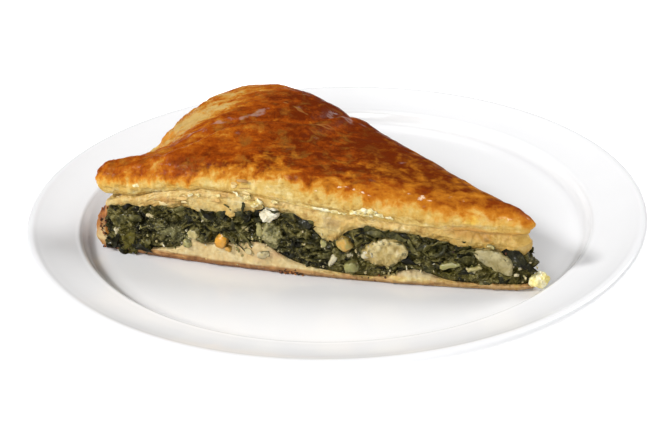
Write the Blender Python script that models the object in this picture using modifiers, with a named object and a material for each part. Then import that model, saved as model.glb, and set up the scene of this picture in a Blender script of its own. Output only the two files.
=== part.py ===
"""A slice of spinach and cheese pie (spanakopita) on a round white plate.

The plate's centre is at the origin, with its foot on z = 0.  The slice points to +X,
with the cut that shows its layers facing -Y.  Every layer of the slice is a sphere that
is pressed onto the slice's plan: each ring of the sphere becomes one line round the layer.
Units are metres.
"""
import bpy
import bmesh
import numpy as np
from math import acos, atan2, cos, pi, radians, sin, tau

GAP = 0.0003                 # air left between pieces that touch

# plate
PLATE_STEPS = 60
FLOOR_RADIUS = 0.0880        # flat floor that the slice stands on
FLOOR_HEIGHT = 0.0075
STEP_RADIUS = 0.1000         # top of the wall round the floor
STEP_HEIGHT = 0.0125
CREST_RADIUS = 0.1180        # highest circle of the rim
CREST_HEIGHT = 0.0167
FOOT_OUTER = 0.0770
FOOT_INNER = 0.0725
FOOT_RECESS = 0.0024         # the underside inside the foot ring lies this much higher
FOOT_BEVEL = 0.0012
WALL_PROFILE = ((0.0950, 0.00780), (0.0975, 0.00905), (0.0992, 0.01185))
RIM_PROFILE = ((0.1020, 0.01283), (0.1070, 0.01363), (0.1120, 0.01478), (0.1155, 0.01590))
LIP_PROFILE = ((0.1195, 0.0164), (0.1204, 0.0151), (0.1201, 0.0134), (0.1186, 0.0122))
UNDERSIDE_PROFILE = ((0.1120, 0.0107), (0.1030, 0.0088), (0.0960, 0.0052), (0.0860, 0.0026))

# the slice in plan: three corners, the bulge of each side and how much each corner is cut back
TIP = (0.0757, -0.0629)
FRONT_CORNER = (-0.0945, -0.0165)
BACK_CORNER = (-0.0310, 0.0560)
FRONT_BULGE = 0.0060
BACK_BULGE = 0.0045
BAKED_BULGE = 0.0030
TIP_CUT = 0.0090
TOP_TIP_BACK = 0.0048        # the upper layers stop this much short of the tip
FRONT_CUT = 0.0060
BACK_CUT = 0.0200
INNER_ROUNDING = 0.25        # the filling and the wall's inside have sharper corners than the outside
MIDDLE = (-0.030, -0.006)    # where the rings of every layer close
LENGTH = 0.1770              # from the tip to the baked edge
BACK_SHIFT = 0.012           # the back cut shows the layers this much further on

# points round the slice, side by side and corner by corner
FRONT_STEPS = 36
BACK_STEPS = 14
BAKED_STEPS = 10
CORNER_STEPS = 4

# layers
CUT_INSET = 0.0012           # rounding of each layer's edge at the two cuts
WALL = 0.0060                # dough wall at the baked edge
WALL_TOP = 0.0170            # height of that wall over the plate's floor
SEAM_INSET = 0.0120          # the lid overhangs the sheet below it by this much at the baked edge
REST_START = 0.0920          # outside this radius the slice's underside bends up, away from the plate's wall
REST_SLOPE = 0.575
REST_FILLET = (0.0007, 0.0030)    # height and width

# lines round each layer, from its underside up: (inset at the cuts, inset at the baked edge)
BOTTOM_LINES = {
    "foot": (0.0012, 0.0040),
    "side_low": (0.0, 0.0020),
    "side_high": (0.0, 0.0),
    "rim_outer": (0.0004, 0.0028),
    "rim_inner": (0.0008, 0.0054),
    "wall_base": (0.0010, WALL),
}
BOTTOM_SIDE_RISE = (0.0008, 0.0040)    # the lower side line over the underside, at the cuts and baked edge
BOTTOM_BULGE_HEIGHT = 0.0095           # the widest line of the baked edge over the plate's floor
RIM_ROUNDING = 0.0008
FILLING_LINES = {
    "edge": 0.0002,
    "belly": -0.0005,
}
COVER_LINES = {
    "low_edge": (0.0003, 0.0045),
    "belly": (-0.0004, 0.0055),
    "high_edge": (0.0003, 0.0095),
}
COVER_RISE = (0.0005, 0.0032)          # its two lower lines over the dough wall's top
COVER_EDGE = (0.0004, 0.0008)          # rounding of its edges
LID_LINES = {
    "lip": (0.0, 0.0075),
    "belly": (-0.0005, 0.0030),
    "brow": (0.0006, 0.0019),
    "shoulder": (0.0026, 0.0030),
    "bend": (0.0060, 0.0060),
    "crown": (0.0110, 0.0110),
}
LIP_RISE = (0.0006, 0.0004)
LID_SHARES = {                         # height of a line between the seam and the top
    "belly": (0.25, 0.25),
    "brow": (0.50, 0.52),
    "shoulder": (0.74, 0.78),
    "bend": (0.92, 0.92),
}
CROWN_RINGS = (1.0, 0.84, 0.68, 0.52, 0.36, 0.18)

# heights over the plate's floor
FILLING_FLOOR = 0.0020
FILLING_TOP = 0.0147
SEAM = 0.0222
SEAM_RISE = 0.0088
SEAM_PEAK = 0.052            # distance from the baked edge where the seam is highest
SEAM_WIDTHS = (0.028, 0.062)

# bumps of a layer's surface along the slice: (distance from the baked edge, width, height)
FILLING_FLOOR_BUMPS = (
    (0.060, 0.024, 0.0080),
    (0.043, 0.004, 0.0030),
    (0.071, 0.007, 0.0030),
    (0.128, 0.008, 0.0050),
)
FILLING_TOP_BUMPS = (
    (0.015, 0.018, 0.0027),
    (0.045, 0.026, 0.0073),
    (0.067, 0.005, 0.0015),
    (0.080, 0.014, 0.0090),
    (0.0965, 0.0055, -0.0052),
    (0.110, 0.016, 0.0058),
    (0.130, 0.014, 0.0038),
    (0.1645, 0.0055, -0.0013),
)

# domes of the lid: (x, y, width, height)
LID_BASE = 0.0385
LID_DOMES = (
    (-0.028, 0.022, 0.034, 0.0075),
    (-0.030, -0.022, 0.026, 0.0014),
    (-0.076, 0.008, 0.014, -0.0130),
    (0.015, -0.030, 0.034, -0.0034),
    (0.052, -0.050, 0.020, -0.0045),
    (-0.045, 0.036, 0.018, -0.0021),
)
FOLD_HEIGHT = 0.0014         # the soft fold across the lid
FOLD_WIDTH = 0.0045
FOLD_PATH = (-0.006, (-0.030, 0.034, -0.017), (-0.012, 0.022, 0.012))    # Y, then where it turns in X
FOLD_REACH = (-0.078, 0.022, 0.020)    # from X, to X, over what length it fades
DIP_DEPTH = 1.5              # the dip behind the fold, as a share of its height
DIP_PLACE = 1.7              # and how many fold widths it lies behind

# pieces that show in the cut: distance along the front, height over the plate's floor,
# half length, depth behind the cut, how far it stands proud, half height, and tilt in degrees
LUMPS = {
    "feta_lump": (0.1160, 0.0126, 0.0088, 0.0080, 0.0018, 0.0054, 4.0),
    "cheese_slab": (0.1560, 0.0112, 0.0078, 0.0060, 0.0010, 0.0042, -30.0),
    "feta_crumb": (0.0727, 0.0241, 0.0038, 0.0040, 0.0013, 0.0022, -6.0),
    "onion_piece": (0.0735, 0.0157, 0.0030, 0.0040, 0.0013, 0.0050, 8.0),
    "tip_cheese": (0.1712, 0.0050, 0.0037, 0.0030, 0.0027, 0.0026, 8.0),
}
LUMP_COLOURS = {
    "feta_lump": (0.72, 0.52, 0.26),
    "cheese_slab": (0.58, 0.48, 0.28),
    "feta_crumb": (0.76, 0.70, 0.54),
    "onion_piece": (0.40, 0.42, 0.28),
    "tip_cheese": (0.85, 0.66, 0.20),
}
LUMP_SEGMENTS = 14
LUMP_RINGS = 8
LUMP_ROUGHNESS = 0.07        # how uneven a lump is, as a share of its size
LUMP_WAVES = (5.0, 6.0, 4.0)        # how often the unevenness swings along, behind and up
LUMP_PHASES = (40.0, 9.0)           # how it shifts from one lump to the next
POCKET_SLACK = 0.00005              # the pockets are this much larger than the gap asks
MERGE_DISTANCE = 0.00005            # points of the turned plate closer than this are one
FOOT_SHARES = (0.85, 1.0)           # rings under the bottom crust
SHEET_SHARES = (0.7, 1.0)           # rings where one layer lies on another
FILLING_EDGE_SHARES = (0.15, 0.88)  # heights of the filling's lower and upper edges at the cuts


def smooth(value):
    """Ease a value from 0 to 1 between 0 and 1, level at both ends."""
    clipped = np.clip(value, 0.0, 1.0)
    return clipped * clipped * (3.0 - 2.0 * clipped)


def bumps(along, table):
    """Sum of bell curves along the slice."""
    total = np.zeros_like(along)
    for centre, width, height in table:
        total += height * np.exp(-((along - centre) / width) ** 2)
    return total


# plan of the slice
def side_point(start, end, bulge, t):
    """Point of a side that bulges outwards by a parabola, seen from above."""
    run = end - start
    outward = np.array((run[1], -run[0])) / np.hypot(*run)
    return start + run * t + outward * (4.0 * bulge * t * (1.0 - t))


def inset_corner(before, corner, after, inset_before, inset_after):
    """Where two sides meet after each of them has moved inwards by its own distance."""
    first = (corner - before) / np.hypot(*(corner - before))
    second = (after - corner) / np.hypot(*(after - corner))
    turn = first[0] * second[1] - first[1] * second[0]
    return corner + (second * inset_before - first * inset_after) / turn


def slice_line(cut, baked, tip_back=0.0, rounding=1.0):
    """A line round the slice with rounded corners: its cuts moved in by cut, its baked edge by baked."""
    tip, front, back = np.array(TIP), np.array(FRONT_CORNER), np.array(BACK_CORNER)
    corners = (
        inset_corner(back, front, tip, baked, cut),
        inset_corner(front, tip, back, cut, cut),
        inset_corner(tip, back, front, cut, baked),
    )
    towards = (corners[0] + corners[2]) / 2 - corners[1]
    corners = (corners[0], corners[1] + towards * tip_back / np.hypot(*towards), corners[2])
    bulges = (FRONT_BULGE, BACK_BULGE, BAKED_BULGE)
    cuts = (FRONT_CUT * rounding, TIP_CUT, BACK_CUT * rounding)
    points = []
    for index, steps in enumerate((FRONT_STEPS, BACK_STEPS, BAKED_STEPS)):
        start, end, after = corners[index], corners[(index + 1) % 3], corners[(index + 2) % 3]
        length = np.hypot(*(end - start))
        next_length = np.hypot(*(after - end))
        first = cuts[index] / length
        last = 1.0 - cuts[(index + 1) % 3] / length
        for step in range(steps + 1):
            points.append(side_point(start, end, bulges[index], first + (last - first) * step / steps))
        leave = points[-1]
        arrive = side_point(end, after, bulges[(index + 1) % 3], cuts[(index + 1) % 3] / next_length)
        for step in range(1, CORNER_STEPS):
            t = step / CORNER_STEPS
            points.append(leave * (1 - t) ** 2 + end * (2 * t * (1 - t)) + arrive * t * t)
    return np.array(points)


def baked_share():
    """For each place round a line, how much it belongs to the baked edge: 0 at the cuts, 1 along it."""
    rise = [float(smooth(step / CORNER_STEPS)) for step in range(1, CORNER_STEPS)]
    cuts = FRONT_STEPS + 1 + CORNER_STEPS - 1 + BACK_STEPS + 1
    return np.array([0.0] * cuts + rise + [1.0] * (BAKED_STEPS + 1) + rise[::-1])


def along_slice(plan):
    """Distance from the baked edge, measured on circles round the tip; the back is shifted a little."""
    reach = plan - np.asarray(TIP)
    distance = np.hypot(reach[:, 0], reach[:, 1])
    turn = np.arctan2(reach[:, 1], -reach[:, 0])
    front_turn = atan2(FRONT_CORNER[1] - TIP[1], TIP[0] - FRONT_CORNER[0])
    back_turn = atan2(BACK_CORNER[1] - TIP[1], TIP[0] - BACK_CORNER[0])
    share = np.clip((turn - front_turn) / (back_turn - front_turn), 0.0, 1.0)
    return LENGTH - distance + BACK_SHIFT * share


# heights over the plate's foot
def plate_top(plan):
    """Height of the plate's eating side under the slice: floor, then a fillet and a slope."""
    beyond = np.hypot(plan[:, 0], plan[:, 1]) - REST_START
    height, width = REST_FILLET
    fillet = height * np.exp(-(beyond / width) ** 2)
    return FLOOR_HEIGHT + np.maximum(beyond, 0.0) * REST_SLOPE + fillet


def filling_floor(plan):
    lift = plate_top(plan) - FLOOR_HEIGHT
    return FLOOR_HEIGHT + FILLING_FLOOR + bumps(along_slice(plan), FILLING_FLOOR_BUMPS) + lift


def filling_top(plan):
    return FLOOR_HEIGHT + FILLING_TOP + bumps(along_slice(plan), FILLING_TOP_BUMPS)


def seam_height(plan):
    """Height of the joint between the lid and the sheet under it, steeper towards the baked edge."""
    along = along_slice(plan)
    width = np.where(along < SEAM_PEAK, *SEAM_WIDTHS)
    return FLOOR_HEIGHT + SEAM + SEAM_RISE * np.exp(-((along - SEAM_PEAK) / width) ** 2)


def fold_line(x):
    """Where the fold across the lid lies in Y, for a place in X."""
    middle, (left_start, left_length, left_shift), (right_start, right_length, right_shift) = FOLD_PATH
    left = left_shift * smooth((left_start - x) / left_length)
    return middle + left + right_shift * smooth((x - right_start) / right_length)


def lid_top(plan):
    x, y = plan[:, 0], plan[:, 1]
    height = np.full(len(plan), FLOOR_HEIGHT + LID_BASE)
    for centre_x, centre_y, width, rise in LID_DOMES:
        height += rise * np.exp(-((x - centre_x) ** 2 + (y - centre_y) ** 2) / (2 * width * width))
    behind = (y - fold_line(x)) / FOLD_WIDTH
    start, end, fade = FOLD_REACH
    reach = smooth((x - start) / fade) * smooth((end - x) / fade)
    ridge = np.exp(-behind ** 2) - DIP_DEPTH * np.exp(-(behind - DIP_PLACE) ** 2)
    return height + reach * FOLD_HEIGHT * ridge


# layers
def mix(cut_value, baked_value):
    """A value that is one thing at the two cuts and another at the baked edge."""
    return cut_value + (baked_value - cut_value) * BAKED


def shrunk(points, share):
    return np.asarray(MIDDLE) + (points - np.asarray(MIDDLE)) * share


def ring(plan, height):
    return np.column_stack([plan, np.broadcast_to(height, len(plan))])


def pressed_sphere(name, rings, low, high):
    """A UV sphere whose rings, bottom to top, are laid on the given lines; low and high are its poles."""
    steps = len(rings[0])
    shape = bmesh.new()
    bmesh.ops.create_uvsphere(shape, u_segments=steps, v_segments=len(rings) + 1, radius=1.0)
    for vertex in shape.verts:
        level = round((pi - acos(max(-1.0, min(1.0, vertex.co.z)))) / pi * (len(rings) + 1)) - 1
        if level < 0:
            vertex.co = low
        elif level >= len(rings):
            vertex.co = high
        else:
            place = round(atan2(vertex.co.y, vertex.co.x) / tau * steps) % steps
            vertex.co = rings[level][place]
    bmesh.ops.triangulate(shape, faces=shape.faces[:], quad_method="SHORT_EDGE")
    return mesh_object(name, shape)


def pole(height_of):
    middle = np.array([MIDDLE])
    return (MIDDLE[0], MIDDLE[1], float(height_of(middle)[0]))


def raised(height_of, by):
    return lambda plan: height_of(plan) + by


def sheet(points, height_of, shares):
    """Rings of a surface inside a line."""
    return [ring(shrunk(points, share), height_of(shrunk(points, share))) for share in shares]


def bottom_crust():
    under = raised(plate_top, GAP)
    lines = {name: slice_line(*insets) for name, insets in BOTTOM_LINES.items()}
    for name in ("rim_inner", "wall_base"):
        lines[name] = slice_line(*BOTTOM_LINES[name], rounding=INNER_ROUNDING)
    side_low, side_high, rim_outer, rim_inner = (
        lines[name] for name in ("side_low", "side_high", "rim_outer", "rim_inner"))
    inner = slice_line(CUT_INSET, WALL + 2 * GAP, rounding=INNER_ROUNDING)
    rim = FLOOR_HEIGHT + WALL_TOP
    bulge = FLOOR_HEIGHT + BOTTOM_BULGE_HEIGHT
    rings = sheet(lines["foot"], under, FOOT_SHARES)
    rings.append(ring(side_low, under(side_low) + mix(*BOTTOM_SIDE_RISE)))
    rings.append(ring(side_high, mix(filling_floor(side_high) - COVER_EDGE[0], bulge)))
    rings.append(ring(rim_outer, mix(filling_floor(rim_outer), rim - RIM_ROUNDING)))
    rings.append(ring(rim_inner, mix(filling_floor(rim_inner), rim)))
    rings.append(ring(lines["wall_base"], filling_floor(lines["wall_base"])))
    rings += sheet(inner, filling_floor, SHEET_SHARES[::-1])
    return pressed_sphere("bottom_crust", rings, pole(under), pole(filling_floor))


def spinach_filling():
    wall = WALL + 2 * GAP
    inner = slice_line(CUT_INSET, wall, rounding=INNER_ROUNDING)
    edge = slice_line(FILLING_LINES["edge"], wall, rounding=INNER_ROUNDING)
    belly = slice_line(FILLING_LINES["belly"], wall, rounding=INNER_ROUNDING)
    top_inner = slice_line(CUT_INSET, wall, TOP_TIP_BACK, INNER_ROUNDING)
    top_edge = slice_line(FILLING_LINES["edge"], wall, TOP_TIP_BACK, INNER_ROUNDING)
    floor = raised(filling_floor, GAP)
    rings = sheet(inner, floor, SHEET_SHARES)
    low_share, high_share = FILLING_EDGE_SHARES
    low = filling_floor(edge) * (1.0 - low_share) + filling_top(edge) * low_share
    rings.append(ring(edge, low))
    rings.append(ring(belly, (filling_floor(belly) + filling_top(belly)) / 2))
    high = filling_floor(top_edge) * (1.0 - high_share) + filling_top(top_edge) * high_share
    rings.append(ring(top_edge, high))
    rings += sheet(top_inner, filling_top, SHEET_SHARES[::-1])
    return pressed_sphere("spinach_filling", rings, pole(floor), pole(filling_top))


def cover_sheet():
    inner = slice_line(CUT_INSET, WALL + 2 * GAP, TOP_TIP_BACK, INNER_ROUNDING)
    low_edge, belly, high_edge = (slice_line(*insets, TOP_TIP_BACK) for insets in COVER_LINES.values())
    seam = slice_line(CUT_INSET, SEAM_INSET, TOP_TIP_BACK)
    under = raised(filling_top, GAP)
    over = raised(seam_height, -GAP)
    rim = FLOOR_HEIGHT + WALL_TOP + GAP
    low_rise, belly_rise = COVER_RISE
    rings = sheet(inner, under, SHEET_SHARES)
    rings.append(ring(low_edge, mix(under(low_edge) + COVER_EDGE[0], rim + low_rise)))
    rings.append(ring(belly, mix((under(belly) + over(belly)) / 2, rim + belly_rise)))
    rings.append(ring(high_edge, over(high_edge) - mix(*COVER_EDGE)))
    rings += sheet(seam, over, SHEET_SHARES[::-1])
    return pressed_sphere("cover_sheet", rings, pole(under), pole(over))


def top_crust():
    seam = slice_line(CUT_INSET, SEAM_INSET, TOP_TIP_BACK)
    lines = {name: slice_line(*insets, TOP_TIP_BACK) for name, insets in LID_LINES.items()}
    base = seam_height(lines["lip"])
    rings = sheet(seam, seam_height, SHEET_SHARES)
    rings.append(ring(lines["lip"], base + mix(*LIP_RISE)))
    for name, shares in LID_SHARES.items():
        rings.append(ring(lines[name], base + (lid_top(lines[name]) - base) * mix(*shares)))
    rings += sheet(lines["crown"], lid_top, CROWN_RINGS)
    return pressed_sphere("top_crust", rings, pole(seam_height), pole(lid_top))


# pieces in the cut
def lump_place(along, height):
    """A place on the front cut."""
    start, end = np.array(FRONT_CORNER), np.array(TIP)
    length = np.hypot(*(end - start))
    face = side_point(start, end, FRONT_BULGE, along / length)
    return face[0], face[1], FLOOR_HEIGHT + height


def lump(name, size_up=0.0):
    """An uneven ellipsoid cut flatter in front; size_up makes the larger one that cuts its pocket."""
    along, height, half_length, depth, proud, half_height, tilt = LUMPS[name]
    wave_x, wave_y, wave_z = LUMP_WAVES
    phase_x, phase_z = LUMP_PHASES
    shape = bmesh.new()
    bmesh.ops.create_uvsphere(shape, u_segments=LUMP_SEGMENTS, v_segments=LUMP_RINGS, radius=1.0)
    for vertex in shape.verts:
        x, y, z = vertex.co
        across = sin(wave_x * x + phase_x * along) * cos(wave_z * z + phase_z * along)
        waves = across + sin(wave_y * y)
        uneven = 1.0 + LUMP_ROUGHNESS * waves
        vertex.co.x = x * (half_length * uneven + size_up)
        vertex.co.y = y * ((depth if y > 0.0 else proud) * uneven + size_up)
        vertex.co.z = z * (half_height * uneven + size_up)
    made = mesh_object(name if size_up == 0.0 else name + "_pocket", shape)
    made.location = lump_place(along, height)
    heading = atan2(TIP[1] - FRONT_CORNER[1], TIP[0] - FRONT_CORNER[0])
    made.rotation_euler = (0.0, -radians(tilt), heading)
    made.rotation_mode = "XYZ"
    return made


def cut_pocket(name, *carriers):
    """Leave room for a lump in the layers that carry it."""
    cutter = lump(name, GAP + POCKET_SLACK)
    parts.objects.unlink(cutter)
    cutters.objects.link(cutter)
    cutter.hide_render = True
    cutter.display_type = "WIRE"
    for carrier in carriers:
        pocket = carrier.modifiers.new("Pocket for " + name, "BOOLEAN")
        pocket.operation = "DIFFERENCE"
        pocket.solver = "EXACT"
        pocket.object = cutter


# objects and materials
def collection(name):
    made = bpy.data.collections.new(name)
    bpy.context.scene.collection.children.link(made)
    return made


def mesh_object(name, shape):
    mesh = bpy.data.meshes.new(name)
    shape.to_mesh(mesh)
    shape.free()
    mesh.shade_smooth()
    made = bpy.data.objects.new(name, mesh)
    parts.objects.link(made)
    return made


def material(made, colour, roughness):
    finish = bpy.data.materials.new(made.name)
    finish.use_nodes = True
    shader = finish.node_tree.nodes["Principled BSDF"]
    shader.inputs["Base Color"].default_value = (*colour, 1.0)
    shader.inputs["Roughness"].default_value = roughness
    shader.inputs["Metallic"].default_value = 0.0
    finish.diffuse_color = (*colour, 1.0)
    made.data.materials.append(finish)


def plate():
    """The plate is turned: its profile runs from the middle of the floor out, over the lip and back."""
    profile = [(0.0, FLOOR_HEIGHT), (FLOOR_RADIUS, FLOOR_HEIGHT), *WALL_PROFILE, (STEP_RADIUS, STEP_HEIGHT)]
    profile += [*RIM_PROFILE, (CREST_RADIUS, CREST_HEIGHT), *LIP_PROFILE, *UNDERSIDE_PROFILE]
    profile += [(FOOT_OUTER + FOOT_BEVEL, FOOT_BEVEL), (FOOT_OUTER, 0.0), (FOOT_INNER, 0.0)]
    profile += [(FOOT_INNER - FOOT_BEVEL, FOOT_RECESS), (0.0, FOOT_RECESS)]
    shape = bmesh.new()
    points = [shape.verts.new((radius, 0.0, height)) for radius, height in profile]
    for first, second in zip(points, points[1:]):
        shape.edges.new((first, second))
    made = mesh_object("plate", shape)
    turn = made.modifiers.new("Turn", "SCREW")
    turn.steps = PLATE_STEPS
    turn.render_steps = PLATE_STEPS
    turn.use_merge_vertices = True
    turn.merge_threshold = MERGE_DISTANCE
    turn.use_smooth_shade = True
    return made


for leftover in list(bpy.data.objects):
    bpy.data.objects.remove(leftover, do_unlink=True)

parts = collection("spanakopita_slice")
cutters = collection("cutters")
BAKED = baked_share()

material(plate(), (0.86, 0.86, 0.88), 0.12)
crust = bottom_crust()
material(crust, (0.70, 0.52, 0.30), 0.65)
filling = spinach_filling()
material(filling, (0.035, 0.045, 0.018), 0.45)
cover = cover_sheet()
material(cover, (0.80, 0.66, 0.40), 0.6)
material(top_crust(), (0.50, 0.20, 0.035), 0.3)
CARRIERS = {
    "feta_lump": (filling,),
    "cheese_slab": (filling, cover),
    "feta_crumb": (filling, cover),
    "onion_piece": (filling,),
    "tip_cheese": (filling, crust),
}
for piece, colour in LUMP_COLOURS.items():
    material(lump(piece), colour, 0.5)
    cut_pocket(piece, *CARRIERS[piece])
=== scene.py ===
import bpy
import numpy as np
from math import atan2, cos, radians, sin
from mathutils import Matrix, Vector


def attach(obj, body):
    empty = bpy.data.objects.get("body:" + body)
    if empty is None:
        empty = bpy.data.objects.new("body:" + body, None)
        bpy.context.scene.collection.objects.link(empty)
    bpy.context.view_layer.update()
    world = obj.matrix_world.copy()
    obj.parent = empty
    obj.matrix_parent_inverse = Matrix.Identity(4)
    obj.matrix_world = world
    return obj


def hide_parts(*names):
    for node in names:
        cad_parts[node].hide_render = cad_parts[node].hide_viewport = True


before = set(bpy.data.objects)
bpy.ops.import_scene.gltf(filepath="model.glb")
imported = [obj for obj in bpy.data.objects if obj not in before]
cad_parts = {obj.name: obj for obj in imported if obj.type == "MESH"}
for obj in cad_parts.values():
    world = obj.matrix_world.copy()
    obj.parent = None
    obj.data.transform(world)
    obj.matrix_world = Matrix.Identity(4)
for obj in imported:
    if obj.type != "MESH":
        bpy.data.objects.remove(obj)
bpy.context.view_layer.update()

print("frame loaded:", len(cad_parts), "nodes")

# all sizes are metres; the cut that shows faces -Y and the slice points to +X
sliceForm = {
    "frontCorner": (-0.0945, -0.0165),
    "tip": (0.0757, -0.0629),
    "backCorner": (-0.0310, 0.0560),
    "bulges": (0.0060, 0.0045, 0.0030),        # front cut, back cut, baked edge
    "cornerCuts": (0.0060, 0.0090, 0.0200),    # front corner, tip, back corner
    "innerRounding": 0.25,                     # the filling's corners are this much sharper
    "middle": (-0.030, -0.006),                # where the rows of every layer close
    "length": 0.1770,                          # from the tip to the baked edge
    "backShift": 0.012,                        # the back cut shows the layers this much further on
    "tipBack": 0.0048,                         # the upper layers stop this much short of the tip
    "wall": 0.0066,                            # dough wall at the baked edge
    "seamInset": 0.0120,                       # overhang of the lid there
    "cutInset": 0.0012,                        # rounding of each layer at the cuts
    "seamCutInsets": (0.0008, 0.0000),         # set-back of the seam at the cuts: baked end, further on
    "wallTop": 0.0170,
    "placesInsets": (0.0, 0.0020),             # the outline that leaves and crumbs are placed on
    "sideSteps": (470, 130, 80),
    "cornerSteps": 10,
}
plateForm = {
    "floorRadius": 0.0880, "floorHeight": 0.0075,
    "stepRadius": 0.1000, "stepHeight": 0.0125,
    "footOuter": 0.0770, "footInner": 0.0725, "footRecess": 0.0024,
    "underRim": (                              # radius and height, from the foot ring outwards
        (0.0860, 0.0026), (0.0960, 0.0052), (0.1030, 0.0088), (0.1120, 0.0107), (0.1186, 0.0122),
    ),
    "rim": (                                   # round the edge and in to the step
        (0.1201, 0.0134), (0.1204, 0.0151), (0.1195, 0.0164), (0.1180, 0.0167), (0.1155, 0.0159),
        (0.1120, 0.01478), (0.1070, 0.01363), (0.1020, 0.01283),
    ),
    "wellWall": (                              # from the step down to the floor
        (0.0994, 0.01205), (0.0986, 0.01070), (0.0977, 0.00925), (0.0964, 0.00815), (0.0935, 0.00762),
    ),
    "levelRadii": (0.060, 0.002),              # radii that keep the middle level
    "stepsRound": 288, "stepsBetween": 6,
    "glaze": ((0.82, 0.82, 0.828), (0.85, 0.85, 0.858)),
}
floorZ = plateForm["floorHeight"]


# noise and surface helpers
latticePrimes = np.array((73856093, 19349663, 83492791))    # hash factors for x, y and z
seedPrime, firstMixer, secondMixer = 668265263, 1274126177, 2246822519


# Gradient noise: each corner of a cubic lattice gets a hashed direction, and the dot products
# with the offset from the corner are blended by the quintic fade of that offset. About -1 to 1.
def grain(points, size, seed=0):
    scaled = points / np.asarray(size, dtype=float)
    cell = np.floor(scaled).astype(np.int64)
    part = scaled - cell
    fade = part ** 3 * (part * (part * 6.0 - 15.0) + 10.0)
    total = np.zeros(part.shape[:-1])
    for corner in range(8):
        step = np.array((corner & 1, corner >> 1 & 1, corner >> 2 & 1))
        key = (cell + step) @ latticePrimes + seed * seedPrime
        key = (key ^ (key >> 13)) * firstMixer & 0xFFFFFFFF
        key = (key ^ (key >> 16)) * secondMixer & 0xFFFFFFFF
        turn = (key & 0xFFFF) / 65536.0 * 2.0 * np.pi
        lift = (key >> 16 & 0xFFFF) / 65536.0 * 2.0 - 1.0
        flat = np.sqrt(1.0 - lift * lift)
        gap = part - step
        dot = gap[..., 0] * flat * np.cos(turn) + gap[..., 1] * flat * np.sin(turn) + gap[..., 2] * lift
        weight = np.where(step == 1, fade, 1.0 - fade).prod(axis=-1)
        total += weight * dot
    return total * 1.6


# Several octaves of grain, each half the size and half the strength of the one before.
def grains(points, size, octaves, seed=0):
    total = np.zeros(points.shape[:-1])
    for octave in range(octaves):
        total += grain(points, np.asarray(size) / 2 ** octave, seed + 17 * octave) / 2 ** octave
    return total


# Creased noise: one minus the size of the grain, so that its zero lines stand up as ridges.
def creases(points, size, octaves, seed=0):
    total = np.zeros(points.shape[:-1])
    for octave in range(octaves):
        ridge = 1.0 - 2.0 * np.abs(grain(points, np.asarray(size) / 2 ** octave, seed + 31 * octave))
        total += ridge / 2 ** octave
    return total


def smooth(value):                             # eases from 0 to 1, level at both ends
    clipped = np.clip(value, 0.0, 1.0)
    return clipped * clipped * (3.0 - 2.0 * clipped)


# The places seen from above, at another height.
def placeAt(plan, height):
    return np.stack([plan[..., 0], plan[..., 1], height], axis=-1)


# Sum of bell curves, each (centre, width, height), along one distance.
def bumps(along, table):
    total = np.zeros_like(along)
    for centre, width, height in table:
        total += height * np.exp(-((along - centre) / width) ** 2)
    return total


# Sum of round bell-shaped domes seen from above, each (x, y, width, height).
def domes(points, table):
    total = np.zeros(points.shape[:-1])
    for x, y, width, height in table:
        reach = (points[..., 0] - x) ** 2 + (points[..., 1] - y) ** 2
        total += height * np.exp(-reach / (2 * width * width))
    return total


# Normals of a grid whose columns run round the piece and whose rows run from its underside up:
# the cross product of the step round and the step up.
def gridNormals(rows):
    roundStep = np.roll(rows, -1, axis=1) - np.roll(rows, 1, axis=1)
    upStep = np.gradient(rows, axis=0)
    normal = np.cross(roundStep, upStep)
    return normal / np.maximum(np.linalg.norm(normal, axis=2, keepdims=True), 1e-12)


# Each place moved along its normal by its own distance.
def pushedOut(rows, distance):
    return rows + gridNormals(rows) * distance[..., None]


# Rows carried through the given lines by Hermite cubics, with chord lengths as the spacing, so
# that unevenly spaced lines don't overshoot. counts holds the rows of each stretch.
def loftRows(lines, counts):
    lines = np.array(lines)
    chord = np.linalg.norm(np.diff(lines, axis=0), axis=2, keepdims=True) + 1e-7
    slope = np.diff(lines, axis=0) / chord
    tangent = np.empty_like(lines)
    tangent[0], tangent[-1] = slope[0], slope[-1]
    tangent[1:-1] = (slope[:-1] * chord[1:] + slope[1:] * chord[:-1]) / (chord[1:] + chord[:-1])
    rows = []
    for index, count in enumerate(counts):
        t = (np.arange(count) / count)[:, None, None]
        reach = chord[index]
        rows.append(
            (2 * t ** 3 - 3 * t ** 2 + 1) * lines[index]
            + (t ** 3 - 2 * t ** 2 + t) * reach * tangent[index]
            + (3 * t ** 2 - 2 * t ** 3) * lines[index + 1]
            + (t ** 3 - t ** 2) * reach * tangent[index + 1]
        )
    rows.append(lines[-1:])
    return np.concatenate(rows)


# meshes
# Four-cornered faces of a grid of rows and columns whose columns close into a ring.
def ringFaces(rowCount, columnCount):
    row = np.arange(rowCount - 1)[:, None] * columnCount
    column = np.arange(columnCount)[None, :]
    after = (column + 1) % columnCount
    corners = (row + column, row + after, row + columnCount + after, row + columnCount + column)
    return np.stack(corners, axis=-1).reshape(-1, 4)


# A mesh of the given places and faces, smooth, with one number for each place under each label.
def meshPiece(name, points, quads, triangles=None, values=None):
    mesh = bpy.data.meshes.new(name)
    faces = quads.tolist() + ([] if triangles is None else triangles.tolist())
    mesh.from_pydata(points.tolist(), [], faces)
    for label, amounts in (values or {}).items():
        layer = mesh.attributes.new(label, "FLOAT", "POINT")
        layer.data.foreach_set("value", np.ascontiguousarray(amounts, dtype=np.float32).ravel())
    mesh.shade_smooth()
    made = bpy.data.objects.new(name, mesh)
    bpy.context.scene.collection.objects.link(made)
    return made


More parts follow.
